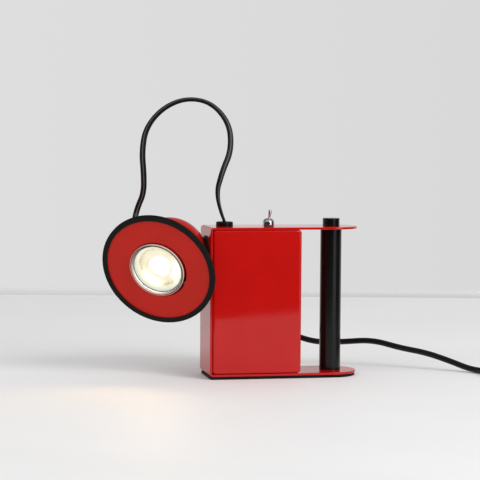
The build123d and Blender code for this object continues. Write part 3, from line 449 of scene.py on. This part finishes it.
def strap_grid():
    """Grid of the strap: its outline carried round a thin rectangle, width by thickness."""
    out = np.array((np.cos(strap_angle), np.sin(strap_angle), 0.0))
    along = np.array((-np.sin(strap_angle), np.cos(strap_angle), 0.0))
    inner = strap_outline(cord_radius + strap_play)
    outer = strap_outline(cord_radius + strap_thickness)
    outer[:, 1] = np.maximum(outer[:, 1], strap_play)
    half = strap_width / 2
    rings = [(inner, -half), (outer, -half * strap_edge), (outer, half * strap_edge), (inner, half)]
    centre = np.array((*coil_centre, 0.0))
    rows = [
        centre + ring[:, :1] * out + ring[:, 1:] * np.array((0, 0, 1.0)) + shift * along
        for ring, shift in rings
    ]
    return np.stack(rows, axis=1)


coil_strap = mesh_from_grid("coil_strap", strap_grid(), wrap_rows=True)
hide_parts("coil_tie")
print("strap faces", len(coil_strap.data.polygons))


# %% [markdown]
# ## How the finishes are made
#
# Each finish is one principled shader. What is the same all over a surface, such as its coat or
# its metal, is a plain number on the shader's own socket. What varies, such as a slight change of
# colour, the peel of a paint film or a moulding's fine grain, comes from noise on Object
# coordinates, whose size is given in metres. A few short helpers keep the node trees readable.

# %% Node helpers
finishes = {}


def linear(red, green, blue):
    """Linear colour with alpha, of a screen colour given as three numbers from 0 to 255: a
    twelfth part of the darkest values and a power of the others, as screens are made."""
    share = np.array((red, green, blue)) / 255
    low, high = share / 12.92, ((share + 0.055) / 1.055) ** 2.4
    return (*(float(c) for c in np.where(share <= 0.04045, low, high)), 1.0)


def grey(level):
    """Linear colour of a screen grey from 0 to 255."""
    return linear(level, level, level)


def new_finish(name, **sockets):
    """Material with a principled shader whose sockets hold the given values. It is also kept
    in the table of finishes, under the name of the material slot that it is for."""
    finish = bpy.data.materials.new(name)
    finish.use_nodes = True
    finishes[name] = finish
    shader = finish.node_tree.nodes["Principled BSDF"]
    for socket, value in sockets.items():
        shader.inputs[socket.replace("_", " ")].default_value = value
    return finish


def put(finish, kind, options=(), **inputs):
    """Node in the finish: options are its own settings, inputs are values or sockets joined on.
    An input's name is the socket's name with _ for a space, or its number after a p."""
    tree = finish.node_tree
    made = tree.nodes.new("ShaderNode" + kind)
    for option, value in dict(options).items():
        setattr(made, option, value)
    for name, value in inputs.items():
        numbered = name[0] == "p" and name[1:].isdigit()
        socket = made.inputs[int(name[1:]) if numbered else name.replace("_", " ")]
        if isinstance(value, bpy.types.NodeSocket):
            tree.links.new(value, socket)
        else:
            socket.default_value = value
    return made


def feed(finish, **sockets):
    """Join outputs of nodes to the principled shader's sockets."""
    shader = finish.node_tree.nodes["Principled BSDF"]
    for name, output in sockets.items():
        finish.node_tree.links.new(output, shader.inputs[name.replace("_", " ")])


def noise(finish, grain, detail=2.0, stretch=None):
    """Noise on Object coordinates whose blotches are about one grain across, in metres."""
    place = put(finish, "TexCoord").outputs["Object"]
    if stretch:
        place = put(finish, "Mapping", Vector=place, Scale=stretch).outputs["Vector"]
    made = put(finish, "TexNoise", Vector=place, Scale=1 / grain, Detail=detail, Roughness=0.55)
    return made.outputs["Fac"]


def ramp(finish, factor, *stops, smooth=True):
    """Colour ramp through (place, colour) stops."""
    made = put(finish, "ValToRGB", Fac=factor)
    made.color_ramp.interpolation = "EASE" if smooth else "LINEAR"
    elements = made.color_ramp.elements
    while len(elements) < len(stops):
        elements.new(0.5)
    for element, (position, colour) in zip(elements, stops):
        element.position = position
        element.color = colour
    return made.outputs["Color"]


def between(finish, factor, low, high):
    """Number that goes from low to high as the factor goes from 0 to 1."""
    return put(finish, "MapRange", Value=factor, To_Min=low, To_Max=high).outputs["Result"]


def mixed(finish, factor, first, second):
    """Mix of two colours, which may be outputs of nodes."""
    made = put(finish, "Mix", {"data_type": "RGBA"}, Factor=factor)
    for socket, colour in (("A", first), ("B", second)):
        if isinstance(colour, bpy.types.NodeSocket):
            finish.node_tree.links.new(colour, made.inputs[socket])
        else:
            made.inputs[socket].default_value = colour
    return made.outputs["Result"]


def relief(finish, height, depth, onto=None):
    """Bump of the given depth in metres, on top of another bump's normals if there is one."""
    extra = {"Normal": onto} if onto else {}
    made = put(finish, "Bump", Strength=1.0, Distance=depth, Height=height, **extra)
    return made.outputs["Normal"]


def shade(colour, share):
    """The colour made lighter or darker by a share."""
    return (*(min(c * share, 1.0) for c in colour[:3]), 1.0)


print("linear value of a middle grey:", round(grey(128)[0], 3))


# %% [markdown]
# ## Red enamel
#
# The bent frame, the box and the ball are stove enamelled: a deep red film under a clear, wet
# gloss. All of its gloss comes from the clear coat, so the film below has no reflection of its
# own. Seen from the front the coat mirrors only about a thirtieth of the room, and at a flat angle
# nearly all of it, which is why the top plate and the sides look pale. The coat is slightly
# rough, so what stands far away is mirrored with a softer edge than what is near. Orange peel,
# ripples two millimetres across and a few millionths deep, makes the reflections waver. The disc
# has nearly the same red as a satin coat with a fine, dense texture.

# %% Enamels
signal_red, disc_red = linear(173, 15, 12), linear(180, 26, 14)


def gloss_enamel(name, colour):
    """Film under a clear coat, both following the orange peel and a slight sag."""
    finish = new_finish(
        name,
        Roughness=0.6,
        Specular_IOR_Level=0.0,
        Coat_Weight=1.0,
        Coat_Roughness=0.055,
        Coat_IOR=1.43,
    )
    cloud = noise(finish, 0.035, detail=3)
    tone = ramp(finish, cloud, (0.25, shade(colour, 0.95)), (0.75, shade(colour, 1.04)))
    sag = relief(finish, noise(finish, 0.012), 0.00002)
    film = relief(finish, noise(finish, 0.0022, detail=1.5), 0.000005, onto=sag)
    feed(finish, Base_Color=tone, Normal=film, Coat_Normal=film)
    return finish


def satin_enamel(name, colour):
    """Satin powder film: fine close grain in the gloss and in the relief."""
    finish = new_finish(name, Specular_IOR_Level=0.2)
    cloud = noise(finish, 0.03, detail=4)
    grain = noise(finish, 0.0006, detail=2)
    tone = ramp(finish, cloud, (0.3, shade(colour, 0.95)), (0.7, shade(colour, 1.05)))
    film = relief(finish, grain, 0.00002, onto=relief(finish, noise(finish, 0.004), 0.00002))
    feed(finish, Base_Color=tone, Roughness=between(finish, grain, 0.36, 0.50), Normal=film)
    return finish


gloss_enamel("red_gloss", signal_red)
satin_enamel("red_satin", disc_red)
print("enamels:", list(finishes))


# %% [markdown]
# ## Blacks
#
# Four blacks differ mainly in how they take light. Rubber is matt with a fine spark-eroded grain.
# The tube and its cap are lacquered steel with a soft shine and a few small pits. Mouldings and
# the cords' soft sheath lie between the two. The twin cord's sheath is the same with one more
# thing: where the mesh says that the groove runs, a painted highlight makes it lighter.

# %% Blacks
def black_finish(name, colour, rough, grain, depth, level):
    """Black with a grained surface, its gloss varying between two roughness values."""
    finish = new_finish(name, Specular_IOR_Level=level)
    fine = noise(finish, grain, detail=3)
    cloud = noise(finish, 0.02, detail=3)
    tone = ramp(finish, cloud, (0.3, shade(colour, 0.85)), (0.7, shade(colour, 1.2)))
    feed(
        finish,
        Base_Color=tone,
        Roughness=between(finish, fine, rough - 0.06, rough + 0.08),
        Normal=relief(finish, fine, depth),
    )
    return finish


soot = linear(13, 12, 11)
black_finish("black_rubber", linear(19, 18, 17), rough=0.60, grain=0.0005, depth=0.00003, level=0.12)
black_finish("grip_black", linear(11, 10, 9), rough=0.20, grain=0.0007, depth=0.000008, level=0.30)
black_finish("black_plastic", soot, rough=0.34, grain=0.0009, depth=0.00001, level=0.20)
black_finish("cord_black", soot, rough=0.34, grain=0.0012, depth=0.00001, level=0.25)
twin_black = black_finish("twin_black", soot, rough=0.32, grain=0.0012, depth=0.00001, level=0.22)
twin_shader = twin_black.node_tree.nodes["Principled BSDF"]
sheath_tone = twin_shader.inputs["Base Color"].links[0].from_socket
# painted highlight: the sheath is made lighter along its groove, where a fine highlight line runs
groove_mark = put(twin_black, "Attribute", {"attribute_name": "groove"}).outputs["Fac"]
groove_highlight_mask = put(twin_black, "MapRange", Value=groove_mark, From_Min=0.72).outputs["Result"]
painted_groove_highlight = linear(92, 92, 90)
feed(twin_black, Base_Color=mixed(twin_black, groove_highlight_mask, sheath_tone, painted_groove_highlight))
print("with the blacks:", len(finishes), "finishes")


# %% [markdown]
# ## Metals
#
# The dome nut, the switch lever and the small screw are bright plated: nearly a mirror, with a
# few polishing marks. Screws, rods and brackets are zinc plated, greyer and cloudy. The
# transformer's core is a stack of thin varnished sheets, whose edges show as fine lines.

# %% Metals
band_length = 1 / 3.183    # one band of the wave texture at scale 1


def plated(name, colour, low, high, cloud_size=0.008, depth=0.000006):
    """Metal with a cloudy gloss and faint marks."""
    finish = new_finish(name, Metallic=1.0)
    cloud = noise(finish, cloud_size, detail=4)
    marks = noise(finish, 0.0008, detail=2, stretch=(1, 1, 8))
    tone = ramp(finish, cloud, (0.3, shade(colour, 0.9)), (0.7, shade(colour, 1.04)))
    feed(
        finish,
        Base_Color=tone,
        Roughness=between(finish, cloud, low, high),
        Normal=relief(finish, marks, depth),
    )
    return finish


def layered(name, dark, light, pitch, axis, rough, metal=0.0, depth=0.00008):
    """Fine layers square to an axis: dark gaps between light edges, one pitch apart."""
    finish = new_finish(name, Metallic=metal)
    place = put(finish, "TexCoord").outputs["Object"]
    wave = put(
        finish,
        "TexWave",
        {"wave_type": "BANDS", "bands_direction": axis, "wave_profile": "SIN"},
        Vector=place,
        Scale=band_length / pitch,
        Distortion=0.4,
        Detail=1.0,
    ).outputs["Fac"]
    tone = ramp(finish, wave, (0.15, dark), (0.6, light))
    feed(
        finish,
        Base_Color=tone,
        Roughness=between(finish, noise(finish, 0.003), rough - 0.08, rough + 0.08),
        Normal=relief(finish, wave, depth),
    )
    return finish


plated("chrome", linear(222, 223, 226), low=0.03, high=0.09, depth=0.000002)
plated("zinc_steel", linear(178, 180, 182), low=0.24, high=0.42)
plated("brass", linear(206, 172, 96), low=0.18, high=0.32)
plated("magnet_ferrite", linear(84, 84, 88), low=0.4, high=0.6, cloud_size=0.004, depth=0.00003)
varnish, steel_edge = linear(46, 44, 44), linear(108, 106, 106)
wire_gap, wire = linear(122, 66, 22), linear(196, 128, 52)
layered("lamination_steel", varnish, steel_edge, pitch=0.0005, axis="X", rough=0.45, metal=0.6)
layered("winding", wire_gap, wire, pitch=0.0006, axis="Z", rough=0.35)
print("with the metals:", len(finishes), "finishes")


# %% [markdown]
# ## Pale mouldings
#
# Nylon bushes, the terminal block and the ceramic lamp holder let a little light in below the
# surface, so their edges look soft. Their colour is slightly mottled.

# %% Pale mouldings
def pale_moulding(name, colour, rough, soft):
    """Slightly translucent moulding: soft is how far light gets in, in metres."""
    finish = new_finish(name, Subsurface_Weight=0.25, Subsurface_Scale=soft)
    mottle = noise(finish, 0.006, detail=4)
    tone = ramp(finish, mottle, (0.3, shade(colour, 0.93)), (0.7, shade(colour, 1.03)))
    fine = noise(finish, 0.0007)
    feed(
        finish,
        Base_Color=tone,
        Roughness=between(finish, fine, rough - 0.07, rough + 0.07),
        Normal=relief(finish, fine, 0.00002),
    )
    return finish


pale_moulding("nylon_white", linear(232, 229, 218), rough=0.42, soft=0.002)
pale_moulding("terminal_plastic", linear(224, 222, 212), rough=0.38, soft=0.0015)
pale_moulding("ceramic", linear(226, 220, 208), rough=0.30, soft=0.001)
print("with the pale mouldings:", len(finishes), "finishes")


# %% [markdown]
# ## Finishes onto the CAD nodes
#
# The record of the part names one material slot for each node. The finishes have the same names,
# so their table gives every node its own. The lamp's glass comes later, with the lamp.

# %% Finish of each node
slot_of = {row["node"]: row["material_slot"] for row in frame["record"]["subparts"]}


def dress(piece, finish):
    """Give a piece one finish all over."""
    piece.data.materials.clear()
    piece.data.materials.append(finish)


for name, node in nodes.items():
    if slot_of[name] in finishes:
        dress(node, finishes[slot_of[name]])
dress(mains_flex, finishes["cord_black"])
for piece in head_flex.values():
    dress(piece, twin_black)
dress(coil_strap, finishes["black_rubber"])
print("nodes still without a finish:", [name for name in nodes if slot_of[name] not in finishes])


# %% [markdown]
# ## Reflector lamp
#
# The lamp is a small reflector of pressed glass. Its open end has a lip of two fine crests with a
# groove between them, a clear dished lens with a round bump closes it, and a lit bowl glows behind
# the lens. All three are turned parts, so each is one outline in millimetres, as distance from the
# lamp's axis and height from the ball's centre, and the lip's corners are rounded. The lamp sits
# loosely in its ring, so its axis is almost a millimetre to the side of the head's.

# %% Lamp shapes
millimetre = 0.001
lamp_shift = 0.95 * millimetre
lamp_across = Vector((0, 0, 1)).cross(lens_dir).normalized()
lamp_centre = ball_centre - lamp_across * lamp_shift


def arc_through(first, middle, last, steps=12):
    """Points of the circle through three points, from the first to the last. The centre is as far
    from the first point as from the two others, which makes two linear equations."""
    first, middle, last = (np.array(place, float) for place in (first, middle, last))
    sides = np.stack([middle - first, last - first])
    centre = np.linalg.solve(2 * sides, (np.stack([middle, last]) ** 2).sum(1) - (first**2).sum())
    begin, finish = (np.arctan2(*(place - centre)[::-1]) for place in (first, last))
    finish = begin + (finish - begin + np.pi) % (2 * np.pi) - np.pi
    angle = np.linspace(begin, finish, steps)
    return centre + np.linalg.norm(first - centre) * np.stack([np.cos(angle), np.sin(angle)], axis=1)


def lamp_part(name, outline):
    """Turned lamp part of an outline in millimetres."""
    outline = np.asarray(outline) * millimetre
    return turned(name, outline, lamp_centre, lens_dir, around=120, crease=30.0)


lip_corners = [
    (24.4, 22.5), (24.4, 27.3), (23.9, 27.6), (23.5, 27.0), (23.1, 27.5), (22.6, 27.1), (22.6, 22.9)
]
lip_outline = rounded_outline(lip_corners, (0, 0.25, 0.15, 0.15, 0.15, 0.2, 0))
glass_outline = np.concatenate([
    [(0, -6.0)],
    arc_through((8.0, -6.0), (18.6, 14.0), (23.0, 21.1)),
    lip_outline,
    arc_through((22.3, 22.9), (19.8, 17.4), (16.4, 12.0)),
    [(0, 12.0)],
])
lens_outline = np.concatenate([
    [(0, 22.9), (22.5, 22.9), (22.5, 26.3), (22.3, 26.4)],
    arc_through((22.1, 26.3), (16.4, 24.8), (10.7, 24.1)),
    arc_through((10.2, 24.4), (7.4, 25.4), (0, 26.6), steps=16),
])
glow_outline = np.concatenate([
    arc_through((0, 16.2), (8.0, 15.6), (10.6, 15.0), steps=8),
    arc_through((11.4, 15.6), (18.2, 18.0), (22.1, 22.6)),
    arc_through((22.0, 22.6), (18.4, 17.2), (16.0, 12.3)),
    [(0, 12.3)],
])
lamp_parts = {
    "glass_reflector": (glass_outline, "lamp_body", "lamp_glass"),
    "front_lens": (lens_outline, "lamp_lens", "lamp_lens"),
    "glow_bowl": (glow_outline, "lamp_module", "emitter_plate"),
}
lamp = {}
for name, (outline, node, slot) in lamp_parts.items():
    lamp[name] = lamp_part(name, outline)
    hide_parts(node)
    print(name, "faces", len(lamp[name].data.polygons))


# %% [markdown]
# ## Lamp finishes
#
# The lens is clear, so what one sees in it is the glowing bowl behind. The bowl glows as the
# lamp's light: it is white in the middle, then bright and warm with dimmer patches of small dots
# between, and it ends in a cool greenish band by the glass. The bright lobes and the dim patches
# round its axis are painted reflections of the light in the reflector. A Mapping node moves the
# piece's Object coordinates to the lamp's own axes, ramps read the distance from the axis, and the
# cosine of a number of times the angle round the axis tells one side from another.

# %% Lamp finishes
lamp_radius = 25 * millimetre
shaded_gap_side, bright_reflection_side, warm_reflection_side = 55.0, 228.0, 288.0    # degrees round the axis


def lamp_axes():
    """Rotation whose Z is the light's direction and whose X is level."""
    return Matrix((lamp_across, lens_dir.cross(lamp_across), lens_dir)).transposed()


def lamp_place(finish):
    """Object coordinates in the lamp's own axes, as shares of its radius."""
    moved = put(
        finish,
        "Mapping",
        {"vector_type": "TEXTURE"},
        Vector=put(finish, "TexCoord").outputs["Object"],
        Location=lamp_centre,
        Rotation=lamp_axes().to_euler(),
    ).outputs["Vector"]
    share = put(finish, "VectorMath", {"operation": "SCALE"}, p0=moved, Scale=1 / lamp_radius)
    return share.outputs["Vector"]


def axis_distance(finish, place):
    """Distance from the lamp's axis: the length of the place once its height is set to 0."""
    flat = put(finish, "VectorMath", {"operation": "MULTIPLY"}, p0=place, p1=(1.0, 1.0, 0.0))
    return put(finish, "VectorMath", {"operation": "LENGTH"}, p0=flat.outputs["Vector"]).outputs["Value"]


def reckon(finish, operation, *values):
    """Result of a Math node."""
    inputs = {f"p{place}": value for place, value in enumerate(values)}
    return put(finish, "Math", {"operation": operation}, **inputs).outputs[0]


def lobes(finish, place, count, first):
    """Number that is 1 in the middle of each lobe round the axis and 0 between two lobes."""
    apart = put(finish, "SeparateXYZ", Vector=place)
    angle = reckon(finish, "ARCTAN2", apart.outputs["Y"], apart.outputs["X"])
    from_first = reckon(finish, "SUBTRACT", angle, np.radians(first))
    wave = reckon(finish, "COSINE", reckon(finish, "MULTIPLY", from_first, float(count)))
    return put(finish, "MapRange", Value=wave, From_Min=-1.0, From_Max=0.6).outputs["Result"]


def glow_finish():
    """Lit bowl that glows as the lamp: white, then warm with three dim patches, of which the upper
    one runs over the lobe beside it, then a cool band at the edge. The bright lobes and the dim
    patches round the axis are painted reflections of the light in the reflector."""
    finish = new_finish("emitter_plate", Roughness=0.5, Emission_Strength=1.3)
    place = lamp_place(finish)
    distance = axis_distance(finish, place)
    core, cool, rim = (1.0, 0.99, 0.96, 1.0), (0.42, 0.46, 0.39, 1.0), (0.36, 0.37, 0.33, 1.0)
    middle_stops = [(0.27, core), (0.36, (0.57, 0.55, 0.48, 1.0)), (0.44, (0.55, 0.51, 0.40, 1.0))]
    edge_stops = [(0.85, cool), (0.88, rim)]
    warm_stops = [
        (0.50, (0.92, 0.91, 0.84, 1.0)),
        (0.73, (0.90, 0.88, 0.78, 1.0)),
        (0.80, (0.62, 0.60, 0.49, 1.0)),
    ]
    dim_stops = [
        (0.56, (0.54, 0.50, 0.38, 1.0)),
        (0.72, (0.48, 0.43, 0.29, 1.0)),
        (0.80, (0.50, 0.48, 0.37, 1.0)),
    ]
    warm = ramp(finish, distance, *middle_stops, *warm_stops, *edge_stops, smooth=False)
    dim = ramp(finish, distance, *middle_stops, *dim_stops, *edge_stops, smooth=False)
    off, full = (0, 0, 0, 1), (1, 1, 1, 1)
    window = ramp(finish, distance, (0.67, off), (0.73, full), (0.80, off))
    specks = put(finish, "MapRange", Value=noise(finish, 0.0012), From_Min=0.50, From_Max=0.60)
    spotted = reckon(finish, "MULTIPLY", specks.outputs["Result"], window)
    dim = mixed(finish, spotted, dim, (0.20, 0.15, 0.07, 1.0))
    # painted reflection: warm and bright lobes round the axis, with dim patches between them
    lower_warm = mixed(finish, lobes(finish, place, 1, warm_reflection_side), dim, warm)
    glow = mixed(finish, lobes(finish, place, 3, bright_reflection_side), dim, lower_warm)
    feed(finish, Base_Color=glow, Emission_Color=glow)
    return finish


def lens_finish():
    """Clear moulding with a cream ring at the foot of its bump and a painted shade at its edge: a
    thin dark line below and a broad brown band above, where one looks into the shadowed gap behind
    the lip."""
    finish = new_finish("lamp_lens", IOR=1.49, Transmission_Weight=0.95)
    place = lamp_place(finish)
    distance = axis_distance(finish, place)
    clear, cream = (0.99, 0.99, 0.98, 1.0), (0.86, 0.76, 0.52, 1.0)
    ring = [(0.400, clear), (0.412, cream), (0.424, cream), (0.440, clear)]
    # painted shade: a thin dark line and a broad brown band for the shadowed gap behind the lip
    line, gap_shade_brown = (0.20, 0.16, 0.14, 1.0), (0.07, 0.03, 0.02, 1.0)
    below = ramp(finish, distance, *ring, (0.872, clear), (0.882, line), (0.894, clear), smooth=False)
    shaded_side_tone = ramp(finish, distance, *ring, (0.862, clear), (0.880, gap_shade_brown), smooth=False)
    tone = mixed(finish, lobes(finish, place, 1, shaded_gap_side), below, shaded_side_tone)
    wavy = noise(finish, 0.003)
    feed(
        finish,
        Base_Color=tone,
        Roughness=between(finish, wavy, 0.01, 0.03),
        Normal=relief(finish, wavy, 0.00002),
    )
    return finish


def lip_finish():
    """Glass of the reflector with painted light: painted highlights on the lip's crests, between
    them the red of the ring below, painted as if seen through the glass, and a brown painted shade
    for the gap above. The lip's lower part, below its crests, is that painted red all over."""
    finish = new_finish("lamp_glass", IOR=1.5, Transmission_Weight=0.15, Roughness=0.12)
    place = lamp_place(finish)
    distance = axis_distance(finish, place)
    # painted light: highlights on the crests, the ring's red painted as seen through, the gap's painted
    # shade
    crest_highlight, red_seen_through, gap_shade_umber = (0.80, 0.70, 0.60, 1.0), (0.50, 0.02, 0.02, 1.0), (0.09, 0.05, 0.035, 1.0)
    groove = [(0.920, crest_highlight), (0.928, red_seen_through), (0.956, red_seen_through), (0.962, crest_highlight)]
    below = ramp(finish, distance, *groove, smooth=False)
    shaded_side_tone = ramp(finish, distance, (0.955, gap_shade_umber), (0.968, crest_highlight), smooth=False)
    rings = mixed(finish, lobes(finish, place, 1, shaded_gap_side), below, shaded_side_tone)
    height = put(finish, "SeparateXYZ", Vector=place).outputs["Z"]
    front = put(finish, "MapRange", Value=height, From_Min=1.030, From_Max=1.050)
    tone = mixed(finish, front.outputs["Result"], red_seen_through, rings)
    feed(finish, Base_Color=tone, Normal=relief(finish, noise(finish, 0.003), 0.00002))
    return finish


for make in (lip_finish, lens_finish, glow_finish):
    make()
for name, (outline, node, slot) in lamp_parts.items():
    dress(lamp[name], finishes[slot])
print("lamp axes", [tuple(round(v, 2) for v in row) for row in lamp_axes()])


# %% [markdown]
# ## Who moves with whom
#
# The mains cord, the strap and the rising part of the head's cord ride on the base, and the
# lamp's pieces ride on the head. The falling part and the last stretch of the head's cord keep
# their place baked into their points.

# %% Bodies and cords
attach(mains_flex, "base")
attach(coil_strap, "base")
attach(head_flex["head_flex_rise"], "base")
for piece in lamp.values():
    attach(piece, "head")
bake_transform(head_flex["head_flex_fall"])
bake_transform(head_flex["head_flex_end"])


# %% [markdown]
# ## Floor and background
#
# The lamp stands on a wide pale table that ends in a straight edge behind it, in front of a pale
# background. The table is large, so that it carries the shadow and the pool of light from any
# side. Its edge lies square to the camera's heading, with a low strip of painted shade along it,
# for the shade in the joint behind the table: darker at its foot and towards the right.

# %% Floor
heading_way = Vector((np.sin(heading), np.cos(heading), 0.0))
level_way = Vector((np.cos(heading), -np.sin(heading), 0.0))
floor_back, floor_front, floor_half = 2.358, -3.0, 4.0


def flat_piece(name, corners):
    """Face between four corners, for the stage round the lamp."""
    mesh = bpy.data.meshes.new(name)
    mesh.from_pydata([tuple(corner) for corner in corners], [], [(0, 1, 2, 3)])
    piece = placed(name, mesh)
    return piece


def stage_point(ahead, aside, height):
    """Point at a distance ahead of the camera's foot and aside to its right."""
    foot = Vector((camera_place.x, camera_place.y, 0.0))
    return foot + heading_way * ahead + level_way * aside + Vector((0, 0, height))


def table_wide(name, near, far):
    """Face as wide as the table between two lines, each a distance ahead and a height."""
    sides = ((near, -floor_half), (near, floor_half), (far, floor_half), (far, -floor_half))
    return flat_piece(name, [stage_point(ahead, aside, high) for (ahead, high), aside in sides])


floor = table_wide("floor", (floor_front, 0.0), (floor_back, 0.0))
floor_finish = new_finish("floor", Roughness=0.6, Specular_IOR_Level=0.3)
floor_cloud = noise(floor_finish, 0.25, detail=2)
table_low, table_high = (0.80, 0.80, 0.80, 1), (0.82, 0.82, 0.82, 1)
feed(floor_finish, Base_Color=ramp(floor_finish, floor_cloud, (0.3, table_low), (0.7, table_high)))
dress(floor, floor_finish)
joint_foot, joint_top, joint_gap = -0.002, 0.009, 0.002
joint_place = floor_back + joint_gap
# painted shade: a dark strip for the shade in the joint between table and background
shade_strip = table_wide("floor_joint", (joint_place, joint_foot), (joint_place, joint_top))
shade_strip_finish = new_finish("floor_joint", Roughness=0.8)
apart = put(shade_strip_finish, "SeparateXYZ", Vector=put(shade_strip_finish, "TexCoord").outputs["Object"])
rise = put(shade_strip_finish, "MapRange", Value=apart.outputs["Z"], From_Min=0.0, From_Max=joint_top)
shade_across = put(shade_strip_finish, "MapRange", Value=apart.outputs["X"], From_Min=-0.1, From_Max=0.25)
left_shade_tones = ((0.60, 0.60, 0.59, 1), (0.68, 0.68, 0.68, 1))    # at the foot and at the top
right_shade_tones = ((0.54, 0.54, 0.53, 1), (0.65, 0.65, 0.65, 1))
left_shade_tone, right_shade_tone = (
    ramp(shade_strip_finish, rise.outputs["Result"], (0.0, low), (1.0, high))
    for low, high in (left_shade_tones, right_shade_tones)
)
strip_shade_tone = mixed(shade_strip_finish, shade_across.outputs["Result"], left_shade_tone, right_shade_tone)
feed(shade_strip_finish, Base_Color=strip_shade_tone)
dress(shade_strip, shade_strip_finish)
print("table from", floor_front, "to", floor_back, "m ahead of the camera's foot")


# %% [markdown]
# ## Dark cards
#
# Glossy red and black look deep when dark cards stand round them, just out of view. These two are
# seen only by reflections. The panel mirrors the table up to the first card's foot and the card
# above it, and the tube mirrors both, with the bright gap between as a stripe.

# %% Dark cards
card_finish = new_finish("dark_card", Roughness=1.0, Specular_IOR_Level=0.0)
card_grain = noise(card_finish, 0.3)
card_low, card_high = (0.05, 0.05, 0.05, 1), (0.06, 0.06, 0.06, 1)
feed(card_finish, Base_Color=ramp(card_finish, card_grain, (0.3, card_low), (0.7, card_high)))
card_height = 0.4
hidden_from = ("camera", "diffuse", "transmission", "volume_scatter", "shadow")
card_feet = {
    "front_card": ((-0.400, -0.242), (0.197, -0.607)),
    "right_card": ((0.333, -0.278), (0.445, 0.070)),
}
for name, (left_foot, right_foot) in card_feet.items():
    card = flat_piece(name, [
        (*left_foot, 0.0),
        (*right_foot, 0.0),
        (*right_foot, card_height),
        (*left_foot, card_height),
    ])
    dress(card, card_finish)
    for kind in hidden_from:
        setattr(card, "visible_" + kind, False)
print("cards:", list(card_feet))


# %% [markdown]
# ## Light
#
# A tall soft strip and a smaller key light stand in front, to the right and high, so that the
# shadow falls to the back and left, with a soft edge from the one and a firmer one from the other.
# A weak filler on the left opens the shadow. The world fills in from all sides. What shows behind
# the table is the world's own pale grey, with painted shade that makes it a little darker towards
# the right; glossy and clear surfaces see a room that is darker in front and overhead. A warm spot
# in the lamp's head gives the pool on the table.

# %% World
world = bpy.data.worlds.new("studio")
bpy.context.scene.world = world
world.use_nodes = True
fill = (0.705, 0.705, 0.705, 1.0)
way = put(world, "SeparateXYZ", Vector=put(world, "TexCoord").outputs["Generated"])
# painted shade: the backdrop seen behind the table is a little darker towards the right
backdrop_with_painted_shade = ramp(world, way.outputs["X"], (0.07, grey(222)), (0.32, grey(217)), smooth=False)
height_stops = [(0.08, grey(220)), (0.32, grey(155)), (0.60, grey(128))]
height_share = ramp(world, way.outputs["Z"], *height_stops, smooth=False)
ahead_share = ramp(world, way.outputs["Z"], (0.35, grey(70)), (0.60, grey(190)), smooth=False)
behind = put(world, "MapRange", Value=way.outputs["Y"], From_Min=-0.10, From_Max=0.35)
room = mixed(world, behind.outputs["Result"], ahead_share, height_share)
rays = put(world, "LightPath")
mirrored = reckon(world, "MAXIMUM", rays.outputs["Is Glossy Ray"], rays.outputs["Is Transmission Ray"])
unseen = mixed(world, mirrored, fill, room)
sky = mixed(world, rays.outputs["Is Camera Ray"], unseen, backdrop_with_painted_shade)
world.node_tree.links.new(sky, world.node_tree.nodes["Background"].inputs["Color"])
print("fill from all sides:", fill[0])


# %% Lamps
middle = Vector((0.0, 0.0, 0.1))


def soft_light(name, place, size, power, mirrored):
    """Rectangular area light, size given as width and height, that faces the lamp's middle."""
    data = bpy.data.lights.new(name, "AREA")
    data.shape = "RECTANGLE"
    data.size, data.size_y = size
    data.energy = power
    light = placed(name, data)
    light.location = place
    light.rotation_euler = (middle - place).to_track_quat("-Z", "Y").to_euler()
    light.visible_glossy = mirrored
    return light


def around(bearing, height, distance):
    """Place seen from the lamp's middle at a bearing, in degrees from straight in front towards
    the right, and an angle above the level."""
    turn, lift = np.radians((bearing, height))
    level = distance * np.cos(lift)
    return middle + Vector((np.sin(turn) * level, -np.cos(turn) * level, np.sin(lift) * distance))


strip = soft_light("strip", around(31, 27, 2.8), (1.0, 2.0), 34.0, mirrored=True)
key = soft_light("key", around(45, 33, 2.8), (0.6, 0.6), 17.5, mirrored=False)
filler = soft_light("filler", around(-60, 35, 2.6), (1.2, 1.2), 8.4, mirrored=False)

beam_data = bpy.data.lights.new("beam", "SPOT")
beam_data.energy = 0.22
beam_data.color = (1.0, 0.62, 0.20)
beam_data.spot_size = np.radians(110)
beam_data.spot_blend = 1.0
beam_data.shadow_soft_size = 0.015
beam = placed("beam", beam_data)
beam.location = ball_centre + lens_dir * 30 * millimetre
beam.rotation_euler = lens_dir.to_track_quat("-Z", "Y").to_euler()
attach(beam, "head")
print("lights:", [light.name for light in (strip, key, filler, beam)])


# %% [markdown]
# ## Finish
#
# Colours are shown as they are worked out, with no film look on top.

# %% Finish
bpy.context.scene.view_settings.view_transform = "Standard"
